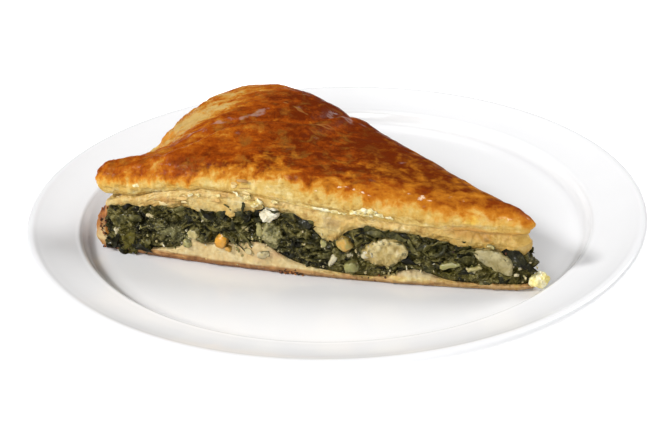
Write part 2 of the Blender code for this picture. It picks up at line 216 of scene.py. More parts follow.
# Triangles that close the first and last ring of a grid to the two middles that follow its places.
def poleFans(rowCount, columnCount):
    column = np.arange(columnCount)
    after = (column + 1) % columnCount
    low, last = rowCount * columnCount, (rowCount - 1) * columnCount
    return np.concatenate([
        np.stack([0 * column + low, after, column], axis=1),
        np.stack([0 * column + low + 1, last + column, last + after], axis=1)])


# A closed piece from rows of rings: the first and last rings are closed by fans to their middles.
def closedPiece(name, rows, values=None):
    points = np.concatenate([rows.reshape(-1, 3), rows[0].mean(axis=0)[None], rows[-1].mean(axis=0)[None]])
    spread = {
        label: np.concatenate([amounts.ravel(), [amounts[0].mean(), amounts[-1].mean()]])
        for label, amounts in (values or {}).items()}
    return meshPiece(name, points, ringFaces(*rows.shape[:2]), poleFans(*rows.shape[:2]), spread)


# Rows of a unit ball: z is the sine of an angle that goes from pole to pole, and each ring's radius
# is its cosine.
def ballRows(rings, segments):
    lift = np.linspace(-0.5 * np.pi, 0.5 * np.pi, rings + 2)[1:-1, None]
    turn = np.arange(segments)[None, :] / segments * 2.0 * np.pi
    level = np.sin(lift) + 0.0 * turn
    return np.stack([np.cos(lift) * np.cos(turn), np.cos(lift) * np.sin(turn), level], axis=-1)


# Many small bodies joined into one piece. parts holds their middles, outward directions and length
# directions. Each body is a ball scaled by its half sizes (outwards, across, along), bent outwards
# by the square of the place along it, then roughened by noise. A square below one makes the ball
# boxier. rim is 0 in the middle of a body seen from outside and 1 at its outline.
def scrapPiece(name, form, parts, halves, bends, values=None):
    middles, outwards, alongs = (np.concatenate(group) for group in zip(*parts))
    acrosses = np.cross(alongs, outwards)
    rings, segments = form["grid"]
    ball = np.concatenate([ballRows(rings, segments).reshape(-1, 3), [(0.0, 0.0, -1.0), (0.0, 0.0, 1.0)]])
    rim = np.hypot(ball[:, 1], ball[:, 2])
    ball = np.sign(ball) * np.abs(ball) ** form["square"]
    local = ball[None] * halves[:, None, :]
    out = local[..., 0] + bends[:, None] * (ball[None, :, 2] ** 2 - 0.3)
    points = middles[:, None] + out[..., None] * outwards[:, None]
    points = points + local[..., 1:2] * acrosses[:, None] + local[..., 2:3] * alongs[:, None]
    amount, size = form["rough"]
    shift = grain(points, size, form["noiseSeed"]) * amount
    lean = grain(points, size, form["noiseSeed"] + 1) * amount * 0.5
    points = points + shift[..., None] * outwards[:, None] + lean[..., None] * acrosses[:, None]
    count, many = len(ball), len(middles)
    offset = (np.arange(many) * count)[:, None, None]
    quads = (ringFaces(rings, segments)[None] + offset).reshape(-1, 4)
    fans = (poleFans(rings, segments)[None] + offset).reshape(-1, 3)
    spread = {label: np.repeat(amounts, count) for label, amounts in (values or {}).items()}
    return meshPiece(name, points.reshape(-1, 3), quads, fans, {**spread, "rim": np.tile(rim, many)})


# Gives a piece its finish and its body, and hides the solids that it stands for.
def dressed(piece, finish, slot, *nodes):
    piece.data.materials.append(finish)
    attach(piece, "root")
    if nodes:
        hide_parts(*nodes)


# the slice seen from above
# A side is its chord plus a parabola that bulges outwards; a corner is the quadratic Bezier curve
# from where one side stops short of it to where the next one starts.
def sideLine(start, end, bulge, t):
    run = end - start
    outward = np.array((run[1], -run[0])) / np.hypot(*run)
    t = np.asarray(t)[:, None]
    return start + run * t + outward * (4.0 * bulge * t * (1.0 - t))


# Where the two sides of a corner meet once each has moved inwards by its own inset.
def insetCorner(before, corner, after, insetBefore, insetAfter):
    first = (corner - before) / np.hypot(*(corner - before))
    second = (after - corner) / np.hypot(*(after - corner))
    turn = first[0] * second[1] - first[1] * second[0]
    return corner + (second * insetBefore - first * insetAfter) / turn


# Outline of the slice: the corners moved in by the insets of the cuts and of the baked edge, the tip
# also straight back, then bulging sides joined by rounded corners.
def sliceLine(cut, baked, tipBack=0.0, rounding=1.0):
    front, tip, back = (np.array(sliceForm[key]) for key in ("frontCorner", "tip", "backCorner"))
    corners = [
        insetCorner(back, front, tip, baked, cut),
        insetCorner(front, tip, back, cut, cut),
        insetCorner(tip, back, front, cut, baked),
    ]
    towards = (corners[0] + corners[2]) / 2 - corners[1]
    corners[1] = corners[1] + towards * tipBack / np.hypot(*towards)
    cuts = [amount * share for amount, share in zip(sliceForm["cornerCuts"], (rounding, 1.0, rounding))]
    bend = (np.arange(1, sliceForm["cornerSteps"]) / sliceForm["cornerSteps"])[:, None]
    pieces = []
    for index, steps in enumerate(sliceForm["sideSteps"]):
        start, end, after = (corners[(index + k) % 3] for k in range(3))
        first = cuts[index] / np.hypot(*(end - start))
        last = 1.0 - cuts[(index + 1) % 3] / np.hypot(*(end - start))
        side = sideLine(start, end, sliceForm["bulges"][index], np.linspace(first, last, steps + 1))
        nextStart = cuts[(index + 1) % 3] / np.hypot(*(after - end))
        arrive = sideLine(end, after, sliceForm["bulges"][(index + 1) % 3], [nextStart])
        pieces += [side, side[-1:] * (1 - bend) ** 2 + end * 2 * bend * (1 - bend) + arrive * bend ** 2]
    return np.concatenate(pieces)


def bakedShare():                              # 0 along the cuts, 1 along the baked edge
    steps, corner = sliceForm["sideSteps"], sliceForm["cornerSteps"]
    rise = smooth(np.arange(1, corner) / corner)
    cuts = np.zeros(steps[0] + 1 + corner - 1 + steps[1] + 1)
    return np.concatenate([cuts, rise, np.ones(steps[2] + 1), rise[::-1]])


baked = bakedShare()


def mix(cutValue, bakedValue):                 # one value along the cuts, the other along the baked edge
    return cutValue + (bakedValue - cutValue) * baked


# Distance from the baked edge on circles round the tip, shifted a little towards the back cut.
def alongSlice(plan):
    front, tip, back = (np.array(sliceForm[key]) for key in ("frontCorner", "tip", "backCorner"))
    reach = plan[..., :2] - tip
    turn = np.arctan2(reach[..., 1], -reach[..., 0])
    frontTurn = atan2(front[1] - tip[1], tip[0] - front[0])
    backTurn = atan2(back[1] - tip[1], tip[0] - back[0])
    share = np.clip((turn - frontTurn) / (backTurn - frontTurn), 0.0, 1.0)
    return sliceForm["length"] - np.hypot(reach[..., 0], reach[..., 1]) + sliceForm["backShift"] * share


(frontX, frontY), (tipX, tipY) = sliceForm["frontCorner"], sliceForm["tip"]
heading = atan2(tipY - frontY, tipX - frontX)  # direction of the front cut


# Distance along the chord of the front cut, and distance behind it.
def frontPlace(points):
    front, tip = np.array(sliceForm["frontCorner"]), np.array(sliceForm["tip"])
    ahead = (tip - front) / np.hypot(*(tip - front))
    offset = points[..., :2] - front
    return offset @ ahead, offset @ np.array((-ahead[1], ahead[0]))


# Line where the lid meets the sheet under it: set back at the baked end, flush further on.
def seamLine():
    back = sliceForm["tipBack"]
    near, far = (sliceLine(inset, sliceForm["seamInset"], back) for inset in sliceForm["seamCutInsets"])
    share = smooth((alongSlice(near) - 0.050) / 0.040)[:, None]
    return near * (1.0 - share) + far * share


# Smears on the front cut: the sum of bell spots over the distance along it and the height, gone a
# little way behind it. A table holds distance, height, width, height of the spot and amount.
def smears(points, table):
    distance, behind = frontPlace(points)
    height = points[..., 2] - floorZ
    total = np.zeros(distance.shape)
    for along, up, wide, high, amount in table:
        total += amount * np.exp(-((distance - along) / wide) ** 2 - ((height - up) / high) ** 2)
    return total * smooth((0.012 - behind) / 0.006)


def smearShares(points, tables):
    return {label: smears(points, table) for label, table in tables.items()}


# heights of the layers
layerForm = {
    "fillingFloor": 0.0020,
    "fillingFloorBumps": (
        (0.060, 0.024, 0.0080), (0.043, 0.004, 0.0030), (0.071, 0.007, 0.0030), (0.128, 0.009, 0.0042),
    ),
    "fillingTop": 0.0147,
    "fillingTopBumps": (
        (0.015, 0.018, 0.0027), (0.045, 0.026, 0.0073), (0.067, 0.005, 0.0015), (0.080, 0.014, 0.0090),
        (0.0965, 0.0055, -0.0052), (0.110, 0.016, 0.0058), (0.130, 0.014, 0.0038), (0.1645, 0.0055, -0.0013),
    ),
    "ragged": 0.0013, "seamRagged": 0.0006,    # how uneven the top of the filling and the seam are
    "seam": 0.0222, "seamRise": 0.0088, "seamPeak": 0.052, "seamWidths": (0.028, 0.062),
    "lid": 0.0385,
    "lidDomes": (                              # x, y, width, height
        (-0.028, 0.022, 0.034, 0.0075), (-0.030, -0.022, 0.026, 0.0014), (-0.076, 0.008, 0.014, -0.0130),
        (0.015, -0.030, 0.034, -0.0034), (0.052, -0.050, 0.020, -0.0045), (-0.045, 0.036, 0.018, -0.0021),
    ),
    "foldHeight": 0.0014, "foldWidth": 0.0045, "foldY": -0.006,
    "foldBends": ((-0.030, -0.034, -0.017), (-0.012, 0.022, 0.012)),    # start, run, shift in y
    "foldSpan": (-0.078, 0.022), "foldFade": 0.02,
}


# Floor, then a wall of constant slope with a soft fillet where it starts.
def plateTop(plan):
    radius = np.hypot(plan[..., 0], plan[..., 1])
    start = plateForm["floorRadius"] + 0.0040
    drop = plateForm["stepHeight"] - floorZ
    slope = (drop - 0.0004) / (plateForm["stepRadius"] - start)
    fillet = 0.0007 * np.exp(-((radius - start) / 0.0030) ** 2)
    return floorZ + np.minimum(np.maximum(radius - start, 0.0) * slope, drop) + fillet


# Where the base ends and the filling starts: a level sheet with humps along the slice.
def fillingFloor(plan):
    lift = plateTop(plan) - floorZ
    return floorZ + layerForm["fillingFloor"] + bumps(alongSlice(plan), layerForm["fillingFloorBumps"]) + lift


# A level sheet with waves along the slice, made ragged by two sizes of noise.
def fillingTop(plan):
    spot = placeAt(plan, 0.0 * plan[..., 0])
    ragged = (grain(spot, 0.0060, 5) + grain(spot, 0.0021, 6) * 0.5) * layerForm["ragged"]
    return floorZ + layerForm["fillingTop"] + bumps(alongSlice(plan), layerForm["fillingTopBumps"]) + ragged


# Height of a share of the way from the filling's floor to its top.
def fillingLevel(plan, share):
    return fillingFloor(plan) * (1.0 - share) + fillingTop(plan) * share


# One uneven bell along the slice, a little ragged.
def seamHeight(plan):
    along = alongSlice(plan)
    width = np.where(along < layerForm["seamPeak"], *layerForm["seamWidths"])
    rise = layerForm["seamRise"] * np.exp(-((along - layerForm["seamPeak"]) / width) ** 2)
    spot = placeAt(plan, 0.0 * plan[..., 0])
    return floorZ + layerForm["seam"] + rise + grain(spot, 0.0048, 8) * layerForm["seamRagged"]


# The fold's y for each x: straight in the middle, curving off at both ends.
def foldLine(x):
    bends = (shift * smooth((x - start) / run) for start, run, shift in layerForm["foldBends"])
    return layerForm["foldY"] + sum(bends)


def foldShare(x):                              # 1 along the fold, 0 past its ends
    start, end = layerForm["foldSpan"]
    return smooth((x - start) / layerForm["foldFade"]) * smooth((end - x) / layerForm["foldFade"])


# A level sheet, plus bell-shaped domes, plus a ridge with a dip behind it along the fold line.
def lidTop(plan):
    x, y = plan[..., 0], plan[..., 1]
    behind = (y - foldLine(x)) / layerForm["foldWidth"]
    ridge = np.exp(-behind ** 2) - 1.5 * np.exp(-(behind - 1.7) ** 2)
    fold = foldShare(x) * layerForm["foldHeight"] * ridge
    return floorZ + layerForm["lid"] + domes(plan, layerForm["lidDomes"]) + fold


def line(plan, height):                        # an outline seen from above, at a height
    return np.column_stack([plan, np.broadcast_to(height, len(plan))])


# Rows of a surface inside a line: the line shrinks towards the middle by each share.
def sheetRows(plan, heightOf, shares):
    middle = np.array(sliceForm["middle"])
    return [line(inside, heightOf(inside)) for inside in (middle + (plan - middle) * s for s in shares)]


# Rows of a layer: from the middle of its underside out to the first line of the shell, up through
# the shell, and from its last line in to the middle of the top.
def layerRows(shell, counts, underHeight, topHeight, topShares=(0.8, 0.4)):
    under = sheetRows(shell[0][:, :2], underHeight, (0.4, 0.8))
    top = sheetRows(shell[-1][:, :2], topHeight, topShares)
    return np.concatenate([np.array(under), loftRows(shell, counts), np.array(top)])


# 1 on the rows that show, 0 on the hidden ones at both ends: each end is the rows left out and the
# rows over which the share eases.
def shownShare(rows, ends):
    (lowRows, lowEase), (highRows, highEase) = ends
    level = np.arange(len(rows))[:, None]
    low = smooth((level - lowRows) / lowEase)
    return low * smooth((len(rows) - highRows - level) / highEase) * np.ones(len(baked))


# shaders: a socket that is used like a number, and a builder for the other nodes
class Wire:
    def __init__(self, finish, socket):
        self.finish = finish
        self.socket = socket

    def worked(self, operation, first, second):
        return self.finish.node("ShaderNodeMath", {"operation": operation}, {0: first, 1: second})

    def __add__(self, other):
        return self.worked("ADD", self, other)

    def __radd__(self, other):
        return self.worked("ADD", other, self)

    def __sub__(self, other):
        return self.worked("SUBTRACT", self, other)

    def __rsub__(self, other):
        return self.worked("SUBTRACT", other, self)

    def __mul__(self, other):
        return self.worked("MULTIPLY", self, other)

    def __rmul__(self, other):
        return self.worked("MULTIPLY", other, self)

    def between(self, low, high):              # 0 at low, 1 at high, eased and kept in that range
        limits = {"Value": self, "From Min": low, "From Max": high}
        return self.finish.node("ShaderNodeMapRange", {"interpolation_type": "SMOOTHSTEP"}, limits)


class Finish:
    def __init__(self, name, **numbers):       # numbers are set on the shader's own sockets
        self.material = bpy.data.materials.new(name)
        self.material.use_nodes = True
        self.tree = self.material.node_tree
        self.shader = self.tree.nodes["Principled BSDF"]
        self.place = self.node("ShaderNodeTexCoord", output="Object")
        for label, value in numbers.items():
            self.shader.inputs[label.replace("_", " ")].default_value = value

    def node(self, kind, settings=None, inputs=None, output=0):
        made = self.tree.nodes.new(kind)
        for label, value in (settings or {}).items():
            if label == "stops":
                ramp = made.color_ramp
                while len(ramp.elements) < len(value):
                    ramp.elements.new(0.5)
                for element, (position, colour) in zip(ramp.elements, value):
                    element.position = position
                    element.color = (*colour, 1.0)
            else:
                setattr(made, label, value)
        for label, value in (inputs or {}).items():
            socket = made.inputs[label]
            if isinstance(value, Wire):
                self.tree.links.new(value.socket, socket)
            else:
                socket.default_value = value
        return Wire(self, made.outputs[output])

    # Noise at the object's own places, stretched and turned about Z, or at other places.
    def noise(self, scale, detail=3.0, stretch=(1.0, 1.0, 1.0), turn=0.0, roughness=0.55, warp=0.0,
              where=None):
        where = where or self.place
        if stretch != (1.0, 1.0, 1.0) or turn:
            where = self.node("ShaderNodeMapping", None, {
                "Vector": where, "Rotation": (0.0, 0.0, turn), "Scale": stretch})
        return self.node("ShaderNodeTexNoise", None, {
            "Vector": where, "Scale": scale, "Detail": detail, "Roughness": roughness, "Distortion": warp})

    # Object place with the height counted from a layer's own base, so that bands follow the layer.
    def layered(self, heightName, across, up):
        x, y = (self.node("ShaderNodeSeparateXYZ", None, {"Vector": self.place}, axis) for axis in (0, 1))
        height = self.attribute(heightName)
        return self.node("ShaderNodeCombineXYZ", None, {"X": x * across, "Y": y * across, "Z": height * up})

    def attribute(self, name):
        return self.node("ShaderNodeAttribute", {"attribute_name": name}, output="Fac")

    def blend(self, factor, first, second):
        colours = {6: self.colour(first), 7: self.colour(second), 0: factor}
        return self.node("ShaderNodeMix", {"data_type": "RGBA"}, colours, output=2)

    def colour(self, value):
        return value if isinstance(value, Wire) else (*value, 1.0)

    # stops are (position, colour)
    def ramp(self, factor, *stops):
        return self.node("ShaderNodeValToRGB", {"stops": stops}, {"Fac": factor})

    def feed(self, label, wire):
        self.tree.links.new(wire.socket, self.shader.inputs[label])

    def bumped(self, height, distance, strength=1.0):
        self.feed("Normal", self.node("ShaderNodeBump", None, {
            "Height": height, "Distance": distance, "Strength": strength}))


# plate
def plateFinish():
    finish = Finish("whiteGlaze", Coat_Weight=0.15, Coat_Roughness=0.08, IOR=1.5)
    finish.feed("Base Color", finish.blend(finish.noise(35.0, 2.0), *plateForm["glaze"]))
    finish.feed("Roughness", 0.17 + finish.noise(600.0, 2.0) * 0.06)
    finish.bumped(finish.noise(55.0, 2.0), 0.0004, 0.3)
    return finish.material


# A profile of radius and height, turned about Z: x = r cos a, y = r sin a. Between the profile's
# own points the wall is carried on by Hermite cubics.
def platePiece():
    form = plateForm
    inner, outer, recess = form["footInner"], form["footOuter"], form["footRecess"]
    wide, narrow = form["levelRadii"]
    profile = [(narrow, recess), (wide, recess), (inner - 0.0016, recess), (inner - 0.0003, 0.0004)]
    profile += [(inner + 0.0006, 0.0), (outer - 0.0006, 0.0)]
    profile += [(outer + 0.0006, 0.0006), (outer + 0.0030, 0.0017)]
    profile += [*form["underRim"], *form["rim"], (form["stepRadius"], form["stepHeight"]), *form["wellWall"]]
    profile += [(form["floorRadius"], floorZ), (wide, floorZ), (narrow, floorZ)]
    turn = np.arange(form["stepsRound"]) / form["stepsRound"] * 2.0 * np.pi
    circle = np.stack([np.cos(turn), np.sin(turn), np.zeros_like(turn)], axis=1)
    lines = [circle * radius + (0.0, 0.0, height) for radius, height in profile]
    return closedPiece("plateBody", loftRows(lines, [form["stepsBetween"]] * (len(lines) - 1)))


dressed(platePiece(), plateFinish(), "plate", "plate")
print("plate made")


def flakyShare(points):                        # the dough is flakier towards the baked edge
    return smooth((0.055 - alongSlice(points)) / 0.035)


doughForm = {                                  # size of each noise, then its height
    "wander": ((0.010, 0.010, 0.006), 0.0010), "fineWander": (0.0035, 0.00040),
    "stand": (0.0060, 0.00018), "fineStand": (0.0022, 0.00010),
    "pillows": ((0.0075, 0.0075, 0.0050), 0.00060), "drags": ((0.0011, 0.0011, 0.0050), 0.00011),
    "crumb": (0.0016, 0.00017),
    "patchSize": (0.008, 0.008, 0.005), "grooveDepth": 0.00009, "grooveWidth": 0.20,
    "crackSize": (0.011, 0.011, 0.0026), "crackWidth": 0.025, "crackDepth": 0.00040, "flakiness": 1.4,
    "colours": (                               # from browned to pale
        (0.26, (0.34, 0.185, 0.042)), (0.39, (0.51, 0.320, 0.085)), (0.50, (0.59, 0.410, 0.130)),
        (0.61, (0.64, 0.485, 0.185)), (0.76, (0.74, 0.63, 0.33)),
    ),
    "golden": (0.60, 0.365, 0.080), "paintedGapShade": (0.33, 0.20, 0.070), "eggy": (0.74, 0.55, 0.060),
    "browned": (0.42, 0.180, 0.026), "seared": (0.26, 0.100, 0.018), "charred": (0.040, 0.020, 0.009),
}


# Relief of cut, layered dough: leaves of equal thickness that wander up and down, each standing
# out by its own noise, with a shallow groove where two meet; then broad pillows, a few short
# cracks, upright drags of the knife and a fine crumb. position holds the place across the slice
# and the height over the layer's base.
def doughRelief(position, pitch, seed):
    form = doughForm

    def noise(name, places, step):
        size, height = form[name]
        return grain(places, size, seed + step) * height

    level = (position[..., 2] + noise("wander", position, 0) + noise("fineWander", position, 1)) / pitch
    index = np.floor(level)
    part = level - index
    own = placeAt(position, index * 0.0371)    # apart enough that leaves don't share their noise
    flaky = 1.0 + form["flakiness"] * flakyShare(position)
    stand = (noise("stand", own, 3) + noise("fineStand", own, 4)) * flaky
    groove = -form["grooveDepth"] * np.exp(-(np.minimum(part, 1.0 - part) / form["grooveWidth"]) ** 2) * flaky
    patchy = smooth(grain(position, form["patchSize"], seed + 2) * 1.6 + 0.45)
    crack = np.abs(grain(position, form["crackSize"], seed + 5)) / form["crackWidth"]
    cracks = -form["crackDepth"] * np.exp(-crack ** 2) * smooth(grain(position, 0.008, seed + 6) * 3.0 - 0.7)
    size, height = form["crumb"]
    crumb = grains(position, size, 2, seed + 8) * height
    broad = noise("pillows", position, 7) + noise("drags", position, 10)
    return (stand + groove) * patchy + cracks + broad + crumb


# Stains on the cut dough: browned and seeped places, dark where the amounts add up past one, and
# places yellow with egg.
doughSpots = {                                 # distance, height, width, height, amount
    "stain": (
        (0.0333, 0.0250, 0.0050, 0.0022, 0.55), (0.0171, 0.0198, 0.0040, 0.0020, 0.40),
        (0.0269, 0.0221, 0.0050, 0.0015, 0.40), (0.0534, 0.0270, 0.0040, 0.0010, 0.30),
        (0.0987, 0.0228, 0.0080, 0.0030, 0.40), (0.1331, 0.0264, 0.0060, 0.0020, 0.25),
        (0.1438, 0.0227, 0.0060, 0.0026, 0.75), (0.1519, 0.0215, 0.0050, 0.0020, 0.75),
        (0.1623, 0.0221, 0.0060, 0.0012, 0.85), (0.1530, 0.0197, 0.0013, 0.0008, 2.20),
        (0.0700, 0.0065, 0.0050, 0.0030, 0.55), (0.0775, 0.0083, 0.0040, 0.0025, 0.55),
        (0.0815, 0.0012, 0.0020, 0.0010, 1.60), (0.0060, 0.0200, 0.0030, 0.0030, 0.45),
        (0.0430, 0.0245, 0.0080, 0.0015, 0.20), (0.1180, 0.0225, 0.0070, 0.0020, 0.25),
    ),
    "yellow": (
        (0.1476, 0.0273, 0.0034, 0.0020, 0.90), (0.0880, 0.0320, 0.0100, 0.0030, 0.35),
        (0.1000, 0.0262, 0.0100, 0.0020, 0.45), (0.1290, 0.0275, 0.0070, 0.0020, 0.35),
    ),
}


# lid of puffed pastry
lidForm = {
    "layerPitch": 0.0013,
    "lip": (0.0, 0.0075), "lipRise": (0.0006, 0.0004), "crown": (0.0110, 0.0110),
    "sideLines": (                             # inset, then share of the height, at the cuts and baked edge
        (-0.0005, 0.0030, 0.25, 0.25), (0.0006, 0.0019, 0.50, 0.52), (0.0026, 0.0030, 0.74, 0.78),
        (0.0060, 0.0060, 0.92, 0.92),
    ),
    "blister": 0.00028, "wrinkle": 0.00016, "chips": (0.00075, 0.00030),
    "crustEdgeWidth": 0.0030,
    "crustEdge": 0.0077,                       # where the browned top starts, over the seam
    "crustEdgeBumps": (
        (0.043, 0.006, -0.0026), (0.034, 0.007, -0.0012), (0.075, 0.010, 0.0013),
        (0.091, 0.005, -0.0008), (0.118, 0.014, 0.0009), (0.172, 0.010, -0.0030),
    ),
    "rows": (3, 12, 14, 14, 9, 8), "shown": ((2, 3.0), (0, 1.0)),
    "topShares": np.linspace(1.0, 0.012, 70)[1:],
    "toast": 0.52, "backToast": 0.26, "frontPale": 0.10,
    "toastSpots": (                            # x, y, width, how much darker
        (0.008, -0.014, 0.018, 0.22), (-0.014, -0.012, 0.010, 0.10), (-0.024, 0.014, 0.013, 0.16),
        (-0.045, -0.021, 0.011, 0.06), (0.020, -0.008, 0.008, 0.18),
        (0.044, -0.035, 0.008, 0.18), (-0.002, 0.014, 0.009, 0.12), (0.060, -0.050, 0.012, 0.12),
        (0.036, -0.034, 0.014, 0.10),
        (-0.060, 0.012, 0.012, -0.30), (-0.044, 0.023, 0.011, -0.27), (-0.070, 0.000, 0.010, -0.22),
        (0.016, 0.000, 0.009, -0.08), (-0.034, -0.026, 0.006, -0.08), (-0.066, -0.024, 0.008, -0.10),
        (-0.083, -0.014, 0.008, -0.08), (0.030, -0.031, 0.005, -0.14),
        (-0.036, 0.034, 0.010, -0.12), (-0.024, 0.004, 0.005, -0.06), (-0.047, -0.008, 0.006, -0.06),
    ),
    "browning": (                              # from pale gold to deep brown
        (0.06, (0.54, 0.35, 0.115)), (0.22, (0.51, 0.225, 0.032)), (0.36, (0.41, 0.106, 0.0060)),
        (0.52, (0.29, 0.054, 0.0030)), (0.80, (0.125, 0.017, 0.0014)),
    ),
    "sheen": (                                 # painted sheen, lines of reflected light: start x, y, end x, y, width, amount
        (-0.0680, -0.0130, -0.0597, -0.0096, 0.0005, 0.6), (-0.0597, -0.0096, -0.0529, -0.0022, 0.0005, 0.9),
        (-0.0529, -0.0022, -0.0442, 0.0015, 0.0006, 1.0), (-0.0442, 0.0015, -0.0355, 0.0035, 0.0007, 0.8),
        (-0.0355, 0.0035, -0.0267, 0.0069, 0.0008, 1.0), (-0.0570, -0.0092, -0.0470, -0.0020, 0.0004, 0.7),
        (-0.0020, 0.0095, 0.0063, 0.0017, 0.0007, 0.9), (0.0063, 0.0040, 0.0200, -0.0040, 0.0006, 0.7),
        (-0.0360, 0.0060, -0.0250, 0.0090, 0.0004, 0.7),
    ),
    "dry": (                                   # places the brush missed, given in the same way
        (-0.0097, -0.0044, 0.0061, -0.0046, 0.0006, 0.9), (-0.0191, 0.0139, -0.0102, 0.0066, 0.0005, 1.0),
        (-0.0500, -0.0050, -0.0400, -0.0020, 0.0005, 0.6), (-0.0240, 0.0090, -0.0130, 0.0040, 0.0005, 0.5),
    ),
    "gloss": (                                 # painted glints, short highlights: distance, height, width, height, amount
        (0.0992, 0.0348, 0.0012, 0.00024, 1.0), (0.1018, 0.0352, 0.0011, 0.00024, 0.9),
        (0.1045, 0.0346, 0.0013, 0.00022, 1.0), (0.1078, 0.0338, 0.0014, 0.00024, 1.0),
        (0.1105, 0.0332, 0.0010, 0.00022, 0.8), (0.1288, 0.0322, 0.0013, 0.00024, 1.0),
        (0.1318, 0.0317, 0.0012, 0.00022, 0.8), (0.0912, 0.0340, 0.0010, 0.00020, 0.7),
        (0.0938, 0.0345, 0.0009, 0.00020, 0.6), (0.1430, 0.0312, 0.0008, 0.00024, 0.6),
        (0.1385, 0.0318, 0.0009, 0.00022, 0.6), (0.1240, 0.0330, 0.0008, 0.00022, 0.6),
    ),
}


# Thin lines seen from above: a bell over the distance from each segment, with a little wander.
def lineShare(points, table, seed):
    total = np.zeros(points.shape[:-1])
    wander = grain(points, 0.0050, seed) * 0.0012
    for startX, startY, endX, endY, width, amount in table:
        offset = points[..., :2] - (startX, startY)
        run = np.array((endX - startX, endY - startY))
        gap = offset - np.clip(offset @ run / (run @ run), 0.0, 1.0)[..., None] * run
        total += amount * np.exp(-((np.hypot(gap[..., 0], gap[..., 1]) + wander) / width) ** 2)
    return total


def calmShare(rows):                           # the browning is calmer towards the tip
    return smooth((rows[..., 0] + 0.002) / 0.030)


# From the seam out to the lip, up the side by shares of the lid's height, then in over the top.
# bake is how far a place lies over the ragged edge of the crust, toast how dark it is there.
def lidPiece():
    form, back = lidForm, sliceForm["tipBack"]
    seam, lip, crown = seamLine(), sliceLine(*form["lip"], back), sliceLine(*form["crown"], back)
    base = seamHeight(lip)
    shell = [line(seam, seamHeight(seam)), line(lip, base + mix(*form["lipRise"]))]
    for cutInset, bakedInset, *shares in form["sideLines"]:
        plan = sliceLine(cutInset, bakedInset, back)
        shell.append(line(plan, base + (lidTop(plan) - base) * mix(*shares)))
    shell.append(line(crown, lidTop(crown)))
    rows = layerRows(shell, form["rows"], seamHeight, lidTop, form["topShares"])
    ply = rows[..., 2] - seamHeight(rows)
    edge = form["crustEdge"] + bumps(alongSlice(rows), form["crustEdgeBumps"])
    lobes = grain(rows, (0.0042, 0.0042, 0.015), 21) * 0.0014 + grain(rows, 0.011, 22) * 0.0008
    lobes += grains(rows, (0.0013, 0.0013, 0.0032), 2, 23) * 0.0006
    bake = (ply - edge + lobes) / (form["crustEdgeWidth"] + 0.0016 * calmShare(rows))
    skin = smooth(bake + 0.6)
    dough = doughRelief(placeAt(rows, ply), form["layerPitch"], 100)
    ahead = rows[..., 0] * cos(heading) + rows[..., 1] * sin(heading)
    across = rows[..., 1] * cos(heading) - rows[..., 0] * sin(heading)
    turned = np.stack([ahead, across, rows[..., 2]], axis=-1)
    wrinkles = creases(turned, (0.020, 0.0032, 0.008), 2, 13) * form["wrinkle"]
    blisters = (grains(rows, 0.0075, 3, 11) + 0.8 * grain(rows, 0.024, 12)) * form["blister"]
    broadChip, fineChip = form["chips"]
    chipped = grain(rows, (0.0050, 0.0050, 0.0022), 14) * broadChip + grain(rows, 0.0020, 15) * fineChip
    relief = dough * (1.0 - 0.75 * skin) + skin * (blisters + wrinkles) + chipped * flakyShare(rows)
    rows = pushedOut(rows, shownShare(rows, form["shown"]) * relief)
    calm = calmShare(rows)
    behind = frontPlace(rows)[1] + 0.0050
    darker = form["backToast"] * smooth((behind - 0.007) / 0.018)
    paler = form["frontPale"] * (1.0 - smooth(behind / 0.010))
    toast = form["toast"] + domes(rows, form["toastSpots"]) + calm * (darker - paler)
    # shares of the painted sheen lines, of the dry places and of the painted glints
    sheen, dry = (lineShare(rows, form[label], seed) for label, seed in (("sheen", 31), ("dry", 32)))
    gloss = smears(rows + grain(rows, 0.0016, 33)[..., None] * 0.0004, form["gloss"])
    return closedPiece("topCrust", rows, {
        "bake": bake, "ply": ply, "toast": toast, "calm": calm, "sheen": sheen, "dry": dry, "gloss": gloss,
        "flaky": flakyShare(rows), **smearShares(rows, doughSpots)})


# Colour and relief of pale cut dough: golden patches, thin bands along the layers and a fine crumb,
# then painted shade in the gaps between the layers, egg and stains over them. shift makes it darker or paler.
def doughColour(finish, heightName, shift=0.0):
    form = doughForm
    bandPlace = finish.layered(heightName, 0.42, 1.25)
    bands = finish.noise(520.0, 4.0, roughness=0.55, warp=0.6, where=bandPlace)
    lines = finish.noise(760.0, 2.0, where=bandPlace)
    drags = finish.noise(520.0, 3.0, stretch=(1.0, 1.0, 0.25), warp=0.4)
    patch = finish.noise(130.0, 4.0, roughness=0.6, warp=0.4)
    cloud = finish.noise(52.0, 2.0)
    grit = finish.noise(620.0, 3.0, roughness=0.6)
    tone = 0.5 + (bands - 0.5) * 0.50 + (patch - 0.5) * 0.80
    tone = tone + (drags - 0.5) * 0.40 + (grit - 0.5) * 0.55 + shift
    cream = finish.ramp(tone, *form["colours"])
    golden = finish.blend(cloud.between(0.50, 0.66) * 0.40, cream, form["golden"])
    # painted shade: thin dark lines in the gaps between the layers, deeper where the dough is flaky
    apart = (lines - 0.5) * (lines - 0.5) * 1500.0
    deep = patch.between(0.46, 0.62) * 0.28 + finish.attribute("flaky") * 0.35
    withGapShade = finish.blend((1.0 - apart.between(0.0, 1.0)) * deep, golden, form["paintedGapShade"])
    yellow = (finish.attribute("yellow") + (patch - 0.5) * 0.6).between(0.25, 1.0)
    eggy = finish.blend(yellow * 0.75, withGapShade, form["eggy"])
    stain = finish.attribute("stain") + (patch - 0.5) * 1.3 + (grit - 0.5) * 0.5
    browned = finish.blend(stain.between(0.20, 0.80) * 0.80, eggy, form["browned"])
    seared = finish.blend(stain.between(0.75, 1.15) * 0.6, browned, form["seared"])
    colour = finish.blend(stain.between(1.30, 1.70) * 0.9, seared, form["charred"])
    relief = bands * 0.5 + drags * 0.3 + grit * 0.4
    return colour, relief, patch, grit


